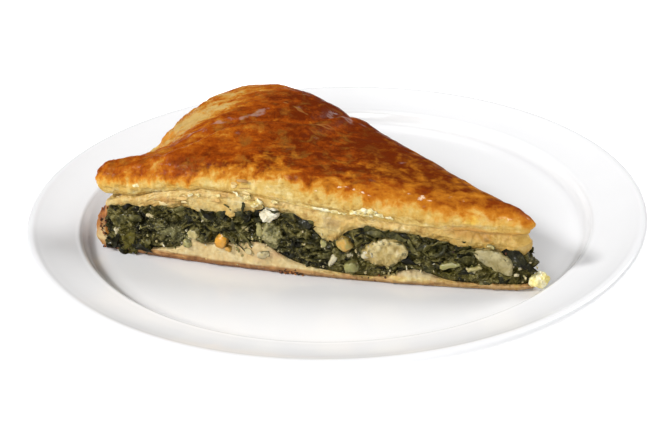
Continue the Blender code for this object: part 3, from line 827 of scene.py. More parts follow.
# Browned, egg washed top over pale dough. The tone is the toast made uneven by noise stretched
# along the slice, and the crust starts where the bake, made ragged by noise, passes zero.
def lidFinish():
    finish = Finish("eggWashedCrust", Coat_Roughness=0.12, IOR=1.35, Specular_IOR_Level=0.05,
                    Subsurface_Weight=0.05, Subsurface_Radius=(0.004, 0.002, 0.0008))
    calm = finish.attribute("calm")
    along = finish.noise(85.0, 3.0, stretch=(0.35, 1.0, 1.0), turn=-heading, warp=0.4)
    streaks = finish.noise(380.0, 3.0, stretch=(0.30, 1.0, 0.6), turn=-heading, warp=0.4)
    mottle = finish.noise(230.0, 5.0, roughness=0.66, warp=0.3)
    fine = finish.noise(1200.0, 3.0)
    uneven = (along - 0.5) * 0.85 + (streaks - 0.5) * 0.50 + (mottle - 0.5) * 1.05
    tone = finish.attribute("toast") + uneven * (1.0 - calm * 0.68) + (fine - 0.5) * 0.25
    brown = finish.ramp(tone, *lidForm["browning"])
    cream, relief = doughColour(finish, "ply")[:2]
    drips = finish.noise(300.0, 3.0, stretch=(1.0, 1.0, 0.20), warp=0.5)
    rough = (mottle - 0.5) * 2.0 + (drips - 0.5) * 2.4 + (streaks - 0.5) * 0.8
    edge = finish.attribute("bake") + rough * (1.0 - calm * 0.40)
    warm = finish.blend(edge.between(-1.9, -0.2) * 0.75, cream, (0.64, 0.35, 0.055))
    amber = finish.blend(edge.between(-1.0, -0.1), warm, (0.54, 0.19, 0.013))
    crust = edge.between(-0.6, 0.7)
    gold = finish.noise(150.0, 4.0, roughness=0.65, warp=0.6)
    olive = finish.blend(gold.between(0.48, 0.70) * (1.0 - calm) * 0.34, brown, (0.34, 0.180, 0.026))
    # painted sheen: pale lilac lines of reflected light mixed into the colour
    paintedSheenShare = (finish.attribute("sheen") + (streaks - 0.5) * 2.4 + (mottle - 0.5) * 1.6).between(0.45, 1.15)
    withPaintedSheen = finish.blend(paintedSheenShare * 0.32, olive, (0.52, 0.38, 0.34))
    dry = (finish.attribute("dry") + (mottle - 0.5) * 1.4).between(0.35, 1.00)
    dried = finish.blend(dry * 0.30, withPaintedSheen, (0.54, 0.28, 0.07))
    # painted glints: short bright highlights mixed into the colour
    glint = (finish.attribute("gloss") + (fine - 0.5) * 1.2).between(0.35, 0.90)
    crusted = finish.blend(crust, amber, dried)
    finish.feed("Base Color", finish.blend(glint * 0.8, crusted, (0.88, 0.68, 0.48)))
    sheen = finish.noise(120.0, 3.0, stretch=(0.28, 1.0, 1.0), turn=-heading, warp=0.8).between(0.58, 0.66)
    finish.feed("Roughness", 0.50 - crust * 0.10 + (fine - 0.5) * 0.16)
    brushed = edge.between(-1.8, -0.3) * (1.0 - crust) * sheen * 0.6
    finish.feed("Coat Weight", crust * (0.015 + sheen * 0.25) + brushed)
    height = (fine - 0.5) * 0.4 + streaks * 0.7 + mottle * 0.7 + relief * (1.0 - crust) * 0.8
    finish.bumped(height, 0.0005, 0.6)
    return finish.material


dressed(lidPiece(), lidFinish(), "top_crust", "top_crust")
print("lid made")


# sheet of dough between the filling and the lid
coverForm = {
    "lowEdge": (0.0003, 0.0045), "belly": (-0.0004, 0.0055), "highEdge": (0.0003, 0.0095),    # insets
    "rises": (0.0005, 0.0032),                 # of its side over the wall at the baked edge
    "seamGaps": (0.0004, 0.0008),              # of its side under the seam, at the cuts and baked edge
    "layerPitch": 0.0012, "relief": 1.4,
    "rows": (6, 18, 18, 5), "shown": ((2, 4.0), (3, 3.0)),
    "browned": (0.44, 0.25, 0.060), "seeped": (0.36, 0.31, 0.13), "warm": (0.50, 0.285, 0.045),
}


# From the top of the filling out to a bulging side, and in under the seam.
def coverPiece():
    form, back = coverForm, sliceForm["tipBack"]
    inner = sliceLine(sliceForm["cutInset"], sliceForm["wall"], back, sliceForm["innerRounding"])
    lowEdge, belly, highEdge = (sliceLine(*form[label], back) for label in ("lowEdge", "belly", "highEdge"))
    seam = seamLine()
    lowRise, highRise = (floorZ + sliceForm["wallTop"] + rise for rise in form["rises"])
    shell = [
        line(inner, fillingTop(inner)),
        line(lowEdge, mix(fillingTop(lowEdge) + 0.0004, lowRise)),
        line(belly, mix((fillingTop(belly) + seamHeight(belly)) / 2, highRise)),
        line(highEdge, seamHeight(highEdge) - mix(*form["seamGaps"])),
        line(seam, seamHeight(seam)),
    ]
    rows = layerRows(shell, form["rows"], fillingTop, seamHeight)
    ply = rows[..., 2] - seamHeight(rows)
    relief = doughRelief(placeAt(rows, ply), form["layerPitch"], 200) * form["relief"]
    rows = pushedOut(rows, shownShare(rows, form["shown"]) * relief)
    warm = smooth((rows[..., 0] - 0.016) / 0.030)    # yellower towards the tip
    return closedPiece("coverSheet", rows, {
        "ply": ply, "flaky": flakyShare(rows), "warm": warm, **smearShares(rows, doughSpots)})


# Pale dough, browned in blots, with the filling's juice seeped into its lower part.
def coverFinish():
    finish = Finish("softDough", Coat_Roughness=0.22, IOR=1.42, Subsurface_Weight=0.08,
                    Subsurface_Radius=(0.003, 0.002, 0.001))
    ply = finish.attribute("ply")
    cream, relief, patch, grit = doughColour(finish, "ply")
    blot = finish.noise(62.0, 3.0)
    brown = (blot * 0.6 + patch * 0.4).between(0.50, 0.60) * 0.35
    seep = (patch * 1.5 - 0.25 - ply * 25.0).between(0.62, 0.95) * 0.40
    warm = (finish.attribute("warm") + (patch - 0.5) * 0.8).between(0.0, 1.2) * 0.55
    seeped = finish.blend(seep, finish.blend(brown, cream, coverForm["browned"]), coverForm["seeped"])
    finish.feed("Base Color", finish.blend(warm, seeped, coverForm["warm"]))
    finish.feed("Roughness", 0.45 + (grit - 0.5) * 0.4)
    finish.feed("Coat Weight", patch.between(0.5, 0.7) * 0.35)
    finish.bumped(relief, 0.0008, 0.6)
    return finish.material


dressed(coverPiece(), coverFinish(), "cover_sheet", "cover_sheet")
print("cover sheet made")


# bottom crust
bottomForm = {
    "foot": (0.0006, 0.0040), "sideLow": (0.0, 0.0020), "sideHigh": (0.0, 0.0),               # insets
    "rimOuter": (0.0004, 0.0028), "rimInner": (0.0008, 0.0054), "wallBase": (0.0010, 0.0060),
    "lift": 0.0002, "lowRise": (0.0008, 0.0040), "highRise": 0.0095,
    "layerPitch": 0.0010, "relief": 1.2,
    "rows": (6, 22, 12, 8, 8, 2), "shown": ((4, 4.0), (6, 6.0)),
    "tanned": (
        (0.32, (0.15, 0.052, 0.012)), (0.44, (0.28, 0.115, 0.027)), (0.56, (0.42, 0.200, 0.055)),
        (0.70, (0.55, 0.33, 0.115)),
    ),
    "burnt": (
        (0.34, (0.05, 0.014, 0.005)), (0.45, (0.22, 0.060, 0.012)), (0.56, (0.45, 0.17, 0.028)),
        (0.70, (0.62, 0.34, 0.09)),
    ),
    "footLine": (0.13, 0.036, 0.011), "streak": (0.40, 0.185, 0.060), "soaked": (0.44, 0.355, 0.215),
    "bleached": (0.64, 0.49, 0.29),
}


def underHeight(plan):                         # just clear of the plate
    return plateTop(plan) + bottomForm["lift"]


# From the plate out to a low side, up the wall at the baked edge, and in over the base.
def bottomPiece():
    form, sharp = bottomForm, sliceForm["innerRounding"]
    outer = (sliceLine(*form[label]) for label in ("foot", "sideLow", "sideHigh", "rimOuter"))
    foot, sideLow, sideHigh, rimOuter = outer
    rimInner, wallBase = (sliceLine(*form[label], rounding=sharp) for label in ("rimInner", "wallBase"))
    inner = sliceLine(sliceForm["cutInset"], sliceForm["wall"], rounding=sharp)
    rim = floorZ + sliceForm["wallTop"]
    shell = [
        line(foot, underHeight(foot)),
        line(sideLow, underHeight(sideLow) + mix(*form["lowRise"])),
        line(sideHigh, mix(fillingFloor(sideHigh) - 0.0004, floorZ + form["highRise"])),
        line(rimOuter, mix(fillingFloor(rimOuter), rim - 0.0008)),
        line(rimInner, mix(fillingFloor(rimInner), rim)),
        line(wallBase, fillingFloor(wallBase)),
        line(inner, fillingFloor(inner)),
    ]
    rows = layerRows(shell, form["rows"], underHeight, fillingFloor)
    rise = rows[..., 2] - plateTop(rows)
    relief = doughRelief(placeAt(rows, rise), form["layerPitch"], 300) * form["relief"]
    rows = pushedOut(rows, shownShare(rows, form["shown"]) * relief)
    near = 1.0 - smooth((alongSlice(rows) - 0.070) / 0.040)    # 1 by the baked edge
    return closedPiece("bottomCrust", rows, {
        "rise": rise, "edge": baked * np.ones_like(rise), "near": near, "flaky": 0.5 * flakyShare(rows),
        **smearShares(rows, doughSpots)})


# Pale dough with a tanned skin along the foot, burnt in blots at the baked edge, and soaked by the
# filling where it stands high.
def bottomFinish():
    form = bottomForm
    finish = Finish("bakedBottom", Coat_Roughness=0.3, IOR=1.42, Subsurface_Weight=0.06,
                    Subsurface_Radius=(0.003, 0.002, 0.001))
    rise, near = finish.attribute("rise"), finish.attribute("near")
    cream, relief, patch, grit = doughColour(finish, "rise", 0.10)
    blot = finish.noise(260.0, 3.0)
    uneven = ((patch - 0.5) * 0.0040 + (blot - 0.5) * 0.0016) * (1.0 - near * 0.6)
    skin = (0.0022 + near * 0.0009 - rise + uneven).between(-0.0006, 0.0005) * (0.70 + near * 0.25)
    foot = (0.0015 - rise + (blot - 0.5) * 0.0016).between(-0.0004, 0.0004)
    tanned = finish.ramp(patch * 0.5 + blot * 0.5, *form["tanned"])
    browned = finish.blend(foot * 0.75, tanned, form["footLine"])
    burnt = finish.ramp(blot * 0.6 + patch * 0.4, *form["burnt"])
    streak = finish.noise(210.0, 4.0, stretch=(0.5, 0.5, 2.2), roughness=0.6, warp=0.6)
    reddish = finish.blend(streak.between(0.50, 0.62) * (0.60 - near * 0.40), cream, form["streak"])
    hump = (rise - 0.0036).between(-0.0006, 0.0012) * (1.0 - near)
    soaked = finish.blend(hump * 0.60, reddish, form["soaked"])
    crust = finish.blend(skin, finish.blend(near * 0.40, soaked, form["bleached"]), browned)
    wall = (finish.attribute("edge") + (patch - 0.5) * 0.8).between(0.15, 0.75)
    finish.feed("Base Color", finish.blend(wall, crust, burnt))
    finish.feed("Roughness", 0.52 + (grit - 0.5) * 0.4)
    finish.feed("Coat Weight", wall * 0.1)
    finish.bumped(relief + blot * 0.4, 0.0008, 0.6)
    return finish.material


dressed(bottomPiece(), bottomFinish(), "bottom_crust", "bottom_crust")
print("bottom crust made")


# spinach filling
# Where the larger pieces show: the filling stands back there and no leaf lies over it.
clearings = (                                  # distance, height, half length, half height
    (0.1147, 0.0120, 0.0100, 0.0052), (0.1560, 0.0110, 0.0076, 0.0036), (0.0718, 0.0235, 0.0060, 0.0030),
    (0.0742, 0.0158, 0.0040, 0.0055), (0.0537, 0.0114, 0.0040, 0.0040), (0.1712, 0.0052, 0.0060, 0.0044),
    (0.1015, 0.0155, 0.0040, 0.0040), (0.1038, 0.0066, 0.0035, 0.0030), (0.0967, 0.0083, 0.0030, 0.0030),
    (0.0425, 0.0128, 0.0030, 0.0026),
)


# 1 in the middle of the nearest clearing, 0 at its edge and outside.
def cleared(distance, height):
    share = np.zeros(np.shape(distance))
    for along, up, halfLength, halfHeight in clearings:
        reach = ((distance - along) / halfLength) ** 2 + ((height - up) / halfHeight) ** 2
        share = np.maximum(share, 1.0 - reach)
    return share


fillingForm = {
    "foldDepth": 0.0019, "leafDepth": 0.0009, "clumpDepth": 0.0009, "setBack": 0.0019, "sunk": 0.0015,
    "sideLines": (                             # inset at the cuts, shares of the tip's set-back and the height
        (sliceForm["cutInset"], 0.0, 0.0), (0.0002, 0.35, 0.15), (-0.0005, 0.70, 0.50), (0.0002, 1.0, 0.88),
        (sliceForm["cutInset"], 1.0, 1.0),
    ),
    "rows": (8, 34, 34, 8), "shown": ((3, 8.0), (4, 8.0)),
    "greens": (                                # from dark to pale; painted shade darkens the folds' hollows
        (0.36, (0.0060, 0.0052, 0.0015)), (0.47, (0.024, 0.0215, 0.0050)), (0.56, (0.070, 0.060, 0.014)),
        (0.66, (0.155, 0.130, 0.036)), (0.80, (0.30, 0.27, 0.12)),
    ),
    "brownish": (0.085, 0.070, 0.010), "speck": (0.42, 0.37, 0.20),
    "oliveColour": (0.125, 0.105, 0.014), "paleColour": (0.235, 0.225, 0.105),
}
fillingSmears = {                              # distance, height, width, height, amount
    "pale": (
        (0.0360, 0.0120, 0.0090, 0.0045, 0.60), (0.0430, 0.0070, 0.0050, 0.0030, 0.45),
        (0.0600, 0.0120, 0.0050, 0.0060, 0.40), (0.0760, 0.0140, 0.0040, 0.0070, 0.60),
        (0.0950, 0.0080, 0.0060, 0.0030, 0.35), (0.1040, 0.0120, 0.0050, 0.0050, 0.40),
        (0.1220, 0.0070, 0.0060, 0.0020, 0.40), (0.1440, 0.0085, 0.0070, 0.0014, 0.45),
        (0.1660, 0.0080, 0.0040, 0.0040, 0.40), (0.0200, 0.0140, 0.0050, 0.0050, 0.15),
    ),
    "olive": (
        (0.0165, 0.0070, 0.0040, 0.0070, 0.85), (0.0120, 0.0150, 0.0030, 0.0050, 0.35),
        (0.0520, 0.0130, 0.0050, 0.0060, 0.45), (0.0680, 0.0160, 0.0030, 0.0070, 0.50),
        (0.1420, 0.0060, 0.0120, 0.0030, 0.60), (0.0860, 0.0140, 0.0050, 0.0040, 0.30),
    ),
}


# From the floor to the top in a bulging side whose face is folded: creased noise at places that are
# themselves shifted by noise, at the size of folds and of leaves.
def fillingPiece():
    form = fillingForm
    wall, back, sharp = (sliceForm[key] for key in ("wall", "tipBack", "innerRounding"))
    shell = []
    for inset, backShare, share in form["sideLines"]:
        plan = sliceLine(inset, wall, back * backShare, sharp)
        shell.append(line(plan, fillingLevel(plan, share)))
    rows = layerRows(shell, form["rows"], fillingFloor, fillingTop)
    warp = np.stack([grain(rows, 0.006, 80 + axis) for axis in range(3)], axis=-1) * 0.003
    folded = creases(rows + warp, (0.0070, 0.0070, 0.0040), 2, 83)
    leaf = creases(rows + warp * 0.7, (0.0028, 0.0028, 0.0016), 3, 87)
    relief = folded * form["foldDepth"] + leaf * form["leafDepth"] - form["setBack"]
    relief += grain(rows, (0.012, 0.012, 0.008), 89) * form["clumpDepth"]
    distance, behind = frontPlace(rows)
    clear = smooth(cleared(distance, rows[..., 2] - floorZ) * 2.5) * smooth((0.008 - behind) / 0.004)
    shown = shownShare(rows, form["shown"]) * (1.0 - baked)
    rows = pushedOut(rows, shown * (relief * (1.0 - clear) - form["sunk"] * clear))
    return closedPiece("spinachFilling", rows, {
        "fold": folded, "leaf": leaf, **smearShares(rows, fillingSmears)})


# Where the cut is smeared with cheese the green turns greyish and pale, elsewhere olive.
def smeared(finish, green, patch):
    pale = (finish.attribute("pale") + (patch - 0.5) * 1.6).between(0.25, 0.95)
    olive = (finish.attribute("olive") + (patch - 0.5) * 1.2).between(0.20, 0.95)
    shaded = finish.blend(olive * 0.8, green, fillingForm["oliveColour"])
    return finish.blend(pale * 0.75, shaded, fillingForm["paleColour"])


# Dark wet green with painted shade, darker in the hollows of the folds and paler on their ridges; fine pale
# specks and wet glints.
def spinachFinish():
    form = fillingForm
    finish = Finish("wetSpinach", Coat_Roughness=0.12, IOR=1.36, Specular_IOR_Level=0.25)
    clump = finish.noise(75.0, 3.0, warp=0.6)
    patch = finish.noise(260.0, 4.0, roughness=0.65, warp=0.8)
    fine = finish.noise(1000.0, 3.0)
    folds = finish.attribute("fold") * 0.5 + finish.attribute("leaf") * 0.5
    # painted shade: the folds' relief darkens their hollows and lightens their ridges
    tone = 0.45 + (patch - 0.5) * 1.0 + (clump - 0.5) * 0.5 + (fine - 0.5) * 0.2 + (folds - 0.4) * 0.18
    fresh = finish.ramp(tone, *form["greens"])
    green = finish.blend(clump.between(0.50, 0.66) * 0.45, fresh, form["brownish"])
    speck = finish.noise(1400.0, 2.0).between(0.64, 0.70) * 0.6
    finish.feed("Base Color", finish.blend(speck, smeared(finish, green, patch), form["speck"]))
    finish.feed("Roughness", 0.38 + (fine - 0.5) * 0.35)
    finish.feed("Coat Weight", (fine * 0.7 + patch * 0.3).between(0.55, 0.62) * 0.9)
    finish.bumped(fine * 0.8 + patch, 0.0009, 0.8)
    return finish.material


dressed(fillingPiece(), spinachFinish(), "spinach_filling", "spinach_filling")
print("filling made")


# Places on a cut face: the distance from the baked edge along the cut's chord, the height over the
# floor and how far the place stands out. A place is read off the slice's outline between its
# columns, so it follows the rounded corner too. Returns the places, the outward directions and
# the directions along the outline.
def cutPlaces(side, distance, height, proud):
    outline = sliceLine(*sliceForm["placesInsets"])
    frontSteps, backSteps = sliceForm["sideSteps"][:2]
    corner = sliceForm["cornerSteps"]
    frontCut, tipCut, backCut = sliceForm["cornerCuts"]
    front, tip, back = (np.array(sliceForm[key]) for key in ("frontCorner", "tip", "backCorner"))
    if side == "front":
        length = np.hypot(*(tip - front))
        column = (distance - frontCut) / (length - frontCut - tipCut) * frontSteps
        column = np.where(column < 0.0, (distance - frontCut) / frontCut * corner, column)
        pastTip = frontSteps + (distance - length + tipCut) / tipCut * corner
        column = np.where(column > frontSteps, pastTip, column)
    else:
        length = np.hypot(*(back - tip))
        column = frontSteps + corner + (length - distance - tipCut) / (length - tipCut - backCut) * backSteps
    low = np.floor(column).astype(int)
    many = len(outline)
    start, end = outline[low % many], outline[(low + 1) % many]
    ahead = (end - start) / np.linalg.norm(end - start, axis=1, keepdims=True)
    outward = np.column_stack([ahead[:, 1], -ahead[:, 0]])
    plan = start + (end - start) * (column - low)[:, None] + outward * np.asarray(proud)[..., None]
    level = np.zeros(len(plan))
    heights = height(plan) if callable(height) else height
    return line(plan, heights), np.column_stack([outward, level]), np.column_stack([ahead, level])


def turnedAbout(vectors, axes, angles):        # Rodrigues' rotation, for axes at right angles to the vectors
    return vectors * np.cos(angles)[:, None] + np.cross(axes, vectors) * np.sin(angles)[:, None]


# Scraps lying on a cut face: each one's length is turned in the face by tilt, then the scrap is
# rolled about its length.
def laidScraps(side, distance, height, proud, tilt, roll):
    places, outward, ahead = cutPlaces(side, distance, height, proud)
    alongs = turnedAbout(ahead, outward, tilt)
    return places, turnedAbout(outward, alongs, roll), alongs


# Half sizes of scraps, each drawn between two limits: thickness, width, length.
def drawnHalves(rng, form, many):
    sizes = (form[key] for key in ("halfThickness", "halfWidth", "halfLength"))
    return np.column_stack([rng.uniform(*size, many) for size in sizes])


# wilted leaves showing at the cuts: loose ones strewn over the filling, then the larger single ones
leafForm = {
    "front": 150, "back": 110,
    "reach": {"front": (0.0090, 0.1640), "back": (0.0100, 0.1500)},
    "halfLength": (0.0022, 0.0052), "halfWidth": (0.0013, 0.0030), "halfThickness": (0.00014, 0.00024),
    "rough": (0.0016, 0.0026), "drawSeed": 7, "noiseSeed": 71, "grid": (9, 14), "square": 0.80,
    "spill": (0.0050, 0.0230, 0.0010, 0.0060, 34),    # reach along and up beside the baked corner, how many
    "spillWidth": (0.0009, 0.0018), "spillLength": (0.0014, 0.0032), "largeThickness": 0.00022,
    "greens": (
        (0.22, (0.0055, 0.0050, 0.0015)), (0.45, (0.022, 0.0205, 0.0050)), (0.60, (0.062, 0.055, 0.013)),
        (0.76, (0.14, 0.122, 0.035)), (0.90, (0.28, 0.25, 0.12)),
    ),
    "large": (                                 # distance, height, half length, half width, tilt, proud
        (0.0628, 0.0258, 0.0024, 0.0006, 86, 0.0008), (0.0612, 0.0235, 0.0018, 0.0007, 40, 0.0006),
        (0.0566, 0.0254, 0.0018, 0.0004, -48, 0.0006), (0.0690, 0.0257, 0.0026, 0.0005, 24, 0.0008),
        (0.0745, 0.0262, 0.0028, 0.0005, -6, 0.0009), (0.0795, 0.0250, 0.0022, 0.0005, -24, 0.0007),
        (0.1060, 0.0182, 0.0042, 0.0009, 36, 0.0004), (0.1130, 0.0206, 0.0046, 0.0010, 0, 0.0006),
        (0.1205, 0.0198, 0.0040, 0.0010, -18, 0.0006), (0.1262, 0.0160, 0.0032, 0.0010, -62, 0.0004),
        (0.1655, 0.0135, 0.0044, 0.0014, -62, -0.0002), (0.1684, 0.0096, 0.0030, 0.0012, -52, 0.0000),
        (0.0550, 0.0145, 0.0070, 0.0010, -42, 0.0006), (0.0585, 0.0120, 0.0066, 0.0009, -46, 0.0007),
        (0.0630, 0.0140, 0.0058, 0.0010, -55, 0.0006), (0.0500, 0.0205, 0.0050, 0.0012, -30, 0.0007),
        (0.0150, 0.0060, 0.0048, 0.0018, 60, 0.0008), (0.0090, 0.0055, 0.0042, 0.0016, 70, 0.0010),
        (0.0200, 0.0035, 0.0050, 0.0014, -12, 0.0010), (0.1400, 0.0090, 0.0060, 0.0008, -8, 0.0004),
        (0.1470, 0.0070, 0.0055, 0.0008, -14, 0.0004), (0.0150, 0.0150, 0.0060, 0.0018, 8, 0.0006),
    ),
}


# Leaves strewn over both cuts at shares of the filling's height, swirling with the distance along
# the cut; some spilt beside the baked corner; then the larger ones at their own places.
def leafPiece():
    form = leafForm
    rng = np.random.default_rng(form["drawSeed"])
    parts, halves = [], []
    for side in ("front", "back"):
        many = form[side]
        distance = rng.uniform(*form["reach"][side], many)
        share = rng.uniform(0.12, 1.04, many)
        if side == "front":                    # none in front of the larger pieces
            places = cutPlaces("front", distance, 0.0, np.zeros(many))[0]
            clear = cleared(distance, fillingLevel(places, share) - floorZ) == 0.0
            distance, share, many = distance[clear], share[clear], int(clear.sum())
        tilt = np.sin(distance * 90.0 + share * 2.0) * 0.5 + rng.normal(0.0, 0.40, many)
        proud = rng.uniform(-0.0017, -0.0002, many)
        roll = rng.normal(0.0, 0.75, many)
        parts.append(laidScraps(side, distance, lambda plan: fillingLevel(plan, share), proud, tilt, roll))
        halves.append(drawnHalves(rng, form, many))
    nearest, furthest, lowest, highest, many = form["spill"]
    distance = rng.uniform(nearest, furthest, many)
    height = floorZ + rng.uniform(lowest, highest, many)
    proud = rng.uniform(-0.0002, 0.0006, many)
    tilt, roll = rng.normal(0.2, 0.6, many), rng.normal(0.0, 0.5, many)
    parts.append(laidScraps("front", distance, height, proud, tilt, roll))
    sizes = (form["halfThickness"], form["spillWidth"], form["spillLength"])
    halves.append(np.column_stack([rng.uniform(*size, many) for size in sizes]))
    distance, height, halfLength, halfWidth, tilt, proud = np.array(form["large"]).T
    many = len(distance)
    roll = rng.normal(0.0, 0.3, many)
    parts.append(laidScraps("front", distance, floorZ + height, proud, np.radians(tilt), roll))
    halves.append(np.column_stack([np.full(many, form["largeThickness"]), halfWidth, halfLength]))
    halves = np.concatenate(halves)
    bends = rng.normal(0.0, 0.0006, len(halves))
    values = smearShares(np.concatenate([part[0] for part in parts]), fillingSmears)
    values["shade"] = rng.uniform(0.0, 1.0, len(halves))
    return scrapPiece("spinachLeaves", form, parts, halves, bends, values)


# Each leaf has a shade of its own, made uneven by noise.
def leafFinish():
    finish = Finish("spinachLeaf", Coat_Roughness=0.12, IOR=1.36, Specular_IOR_Level=0.25)
    patch = finish.noise(300.0, 4.0, roughness=0.6)
    fine = finish.noise(1200.0, 2.0)
    tone = 0.46 + (finish.attribute("shade") - 0.5) * 0.55 + (patch - 0.5) * 1.1 + (fine - 0.5) * 0.15
    finish.feed("Base Color", smeared(finish, finish.ramp(tone, *leafForm["greens"]), patch))
    finish.feed("Roughness", 0.42 + (fine - 0.5) * 0.3)
    finish.feed("Coat Weight", (fine * 0.7 + patch * 0.3).between(0.55, 0.62) * 0.9)
    finish.bumped(patch + fine * 0.4, 0.0006, 0.6)
    return finish.material


dressed(leafPiece(), leafFinish(), "spinach_filling")


# thin leaves of pastry that stand off the cuts
flakeForm = {
    "front": 26, "back": 50,
    "reach": {"front": (0.008, 0.080), "back": (0.016, 0.146)},
    "halfLength": (0.0008, 0.0026), "halfWidth": (0.00035, 0.00080), "halfThickness": (0.00008, 0.00016),
    "rough": (0.0005, 0.0020), "drawSeed": 19, "noiseSeed": 91, "grid": (5, 8), "square": 1.0,
    "sink": {"front": 0.0, "back": 0.0006},
    "layerShares": (0.30, 0.70),               # up to the first on the lid, up to the second on the cover
    "lidBand": {"front": (0.0004, 0.0068), "back": (0.0004, 0.0030)},
    "coverBand": (0.22, 0.70), "bottomBand": (0.0025, 0.85),
    "colours": (
        (0.20, (0.36, 0.18, 0.045)), (0.40, (0.56, 0.34, 0.10)), (0.58, (0.66, 0.47, 0.18)),
        (0.78, (0.74, 0.60, 0.30)),
    ),
}


# Flakes at random shares of the height of the lid's edge, the cover's side and the base's side,
# nearly level along the cut.
def flakePiece():
    form = flakeForm
    rng = np.random.default_rng(form["drawSeed"])
    parts, halves = [], []
    for side in ("front", "back"):
        many = form[side]
        distance = rng.uniform(*form["reach"][side], many)
        layer = rng.uniform(0.0, 1.0, many)
        share = rng.uniform(0.0, 1.0, many)

        def height(plan):
            seam, top, floor = seamHeight(plan), fillingTop(plan), plateTop(plan) + form["bottomBand"][0]
            low, high = form["lidBand"][side]
            start, reach = form["coverBand"]
            onLid = seam + low + (high - low) * share
            onCover = top + (seam - top) * (start + reach * share)
            onBottom = floor + np.maximum(fillingFloor(plan) - floor, 0.0) * share * form["bottomBand"][1]
            lidShare, coverShare = form["layerShares"]
            return np.where(layer < lidShare, onLid, np.where(layer < coverShare, onCover, onBottom))

        tilt = rng.normal(0.0, 0.10, many)
        proud = rng.uniform(-0.0003, 0.0002, many) - form["sink"][side]
        parts.append(laidScraps(side, distance, height, proud, tilt, rng.normal(0.0, 0.35, many)))
        halves.append(drawnHalves(rng, form, many))
    halves = np.concatenate(halves)
    bends = rng.normal(0.0, 0.0003, len(halves))
    values = {"shade": rng.uniform(0.0, 1.0, len(halves))}
    return scrapPiece("pastryFlakes", form, parts, halves, bends, values)


# Each flake has a shade of its own, from toasted to pale.
def flakeFinish():
    finish = Finish("pastryFlake", Coat_Roughness=0.2, IOR=1.4, Subsurface_Weight=0.05,
                    Subsurface_Radius=(0.002, 0.0015, 0.001))
    patch = finish.noise(140.0, 3.0)
    fine = finish.noise(1200.0, 2.0)
    tone = finish.attribute("shade") * 0.5 + patch * 0.5 + (fine - 0.5) * 0.15
    finish.feed("Base Color", finish.ramp(tone, *flakeForm["colours"]))
    finish.feed("Roughness", 0.45 + (fine - 0.5) * 0.3)
    finish.bumped(patch + fine * 0.5, 0.0005, 0.5)
    return finish.material


dressed(flakePiece(), flakeFinish(), "top_crust")
print("leaves and flakes made")


# crumbs of cheese in the filling: strewn ones, thicker round the given places, and single pieces
crumbForm = {
    "clusters": (                              # distance, height, spread along, spread up, how many
        (0.036, 0.011, 0.006, 0.0035, 46), (0.062, 0.012, 0.0060, 0.0040, 34),
        (0.072, 0.016, 0.0030, 0.0050, 18), (0.104, 0.010, 0.0045, 0.0030, 26),
        (0.122, 0.007, 0.0040, 0.0016, 20), (0.140, 0.009, 0.0080, 0.0015, 22),
        (0.167, 0.007, 0.0028, 0.0022, 14), (0.090, 0.016, 0.0040, 0.0030, 10),
        (0.020, 0.012, 0.0060, 0.0040, 16),
    ),
    "size": (0.00014, 0.00050), "furthest": 0.1710, "proud": 0.0007,
    "rough": (0.0012, 0.0017), "drawSeed": 31, "noiseSeed": 51, "grid": (9, 14), "square": 0.72,
    "colours": (                               # white, cream, olive, then carrot
        (0.0, (0.60, 0.54, 0.37)), (0.30, (0.54, 0.43, 0.19)), (0.50, (0.36, 0.31, 0.11)),
        (0.66, (0.27, 0.26, 0.080)), (0.86, (0.58, 0.32, 0.055)), (1.0, (0.72, 0.33, 0.025)),
    ),
    "dirt": (0.085, 0.075, 0.022),
    "singles": (                               # distance, height, half length, half height, tilt, colour
        (0.0967, 0.0083, 0.0027, 0.0010, 62, 0.05), (0.1033, 0.0112, 0.0012, 0.0010, 0, 0.15),
        (0.1038, 0.0066, 0.0030, 0.0024, 20, 0.62), (0.1015, 0.0155, 0.0026, 0.0030, 50, 0.80),
        (0.1096, 0.0120, 0.0024, 0.0013, 10, 0.06), (0.0106, 0.0092, 0.0013, 0.0011, 35, 0.18),
        (0.0425, 0.0128, 0.0024, 0.0020, -30, 0.45), (0.0395, 0.0085, 0.0018, 0.0015, 10, 0.55),
        (0.0690, 0.0180, 0.0011, 0.0030, 5, 0.50), (0.0640, 0.0085, 0.0016, 0.0013, 0, 0.30),
        (0.0700, 0.0078, 0.0024, 0.0016, 15, 0.22), (0.1490, 0.0090, 0.0028, 0.0010, 12, 0.50),
        (0.1400, 0.0098, 0.0040, 0.0010, 14, 0.60), (0.0635, 0.0180, 0.0014, 0.0010, 20, 0.35),
        (0.1640, 0.0070, 0.0010, 0.0008, 0, 0.12), (0.0537, 0.0114, 0.0031, 0.0023, 70, 0.98),
        (0.0560, 0.0085, 0.0014, 0.0014, 0, 0.92), (0.1545, 0.0180, 0.0016, 0.0007, 0, 0.45),
        (0.0250, 0.0180, 0.0008, 0.0018, 80, 0.25), (0.0935, 0.0150, 0.0014, 0.0012, 20, 0.55),
    ),
}


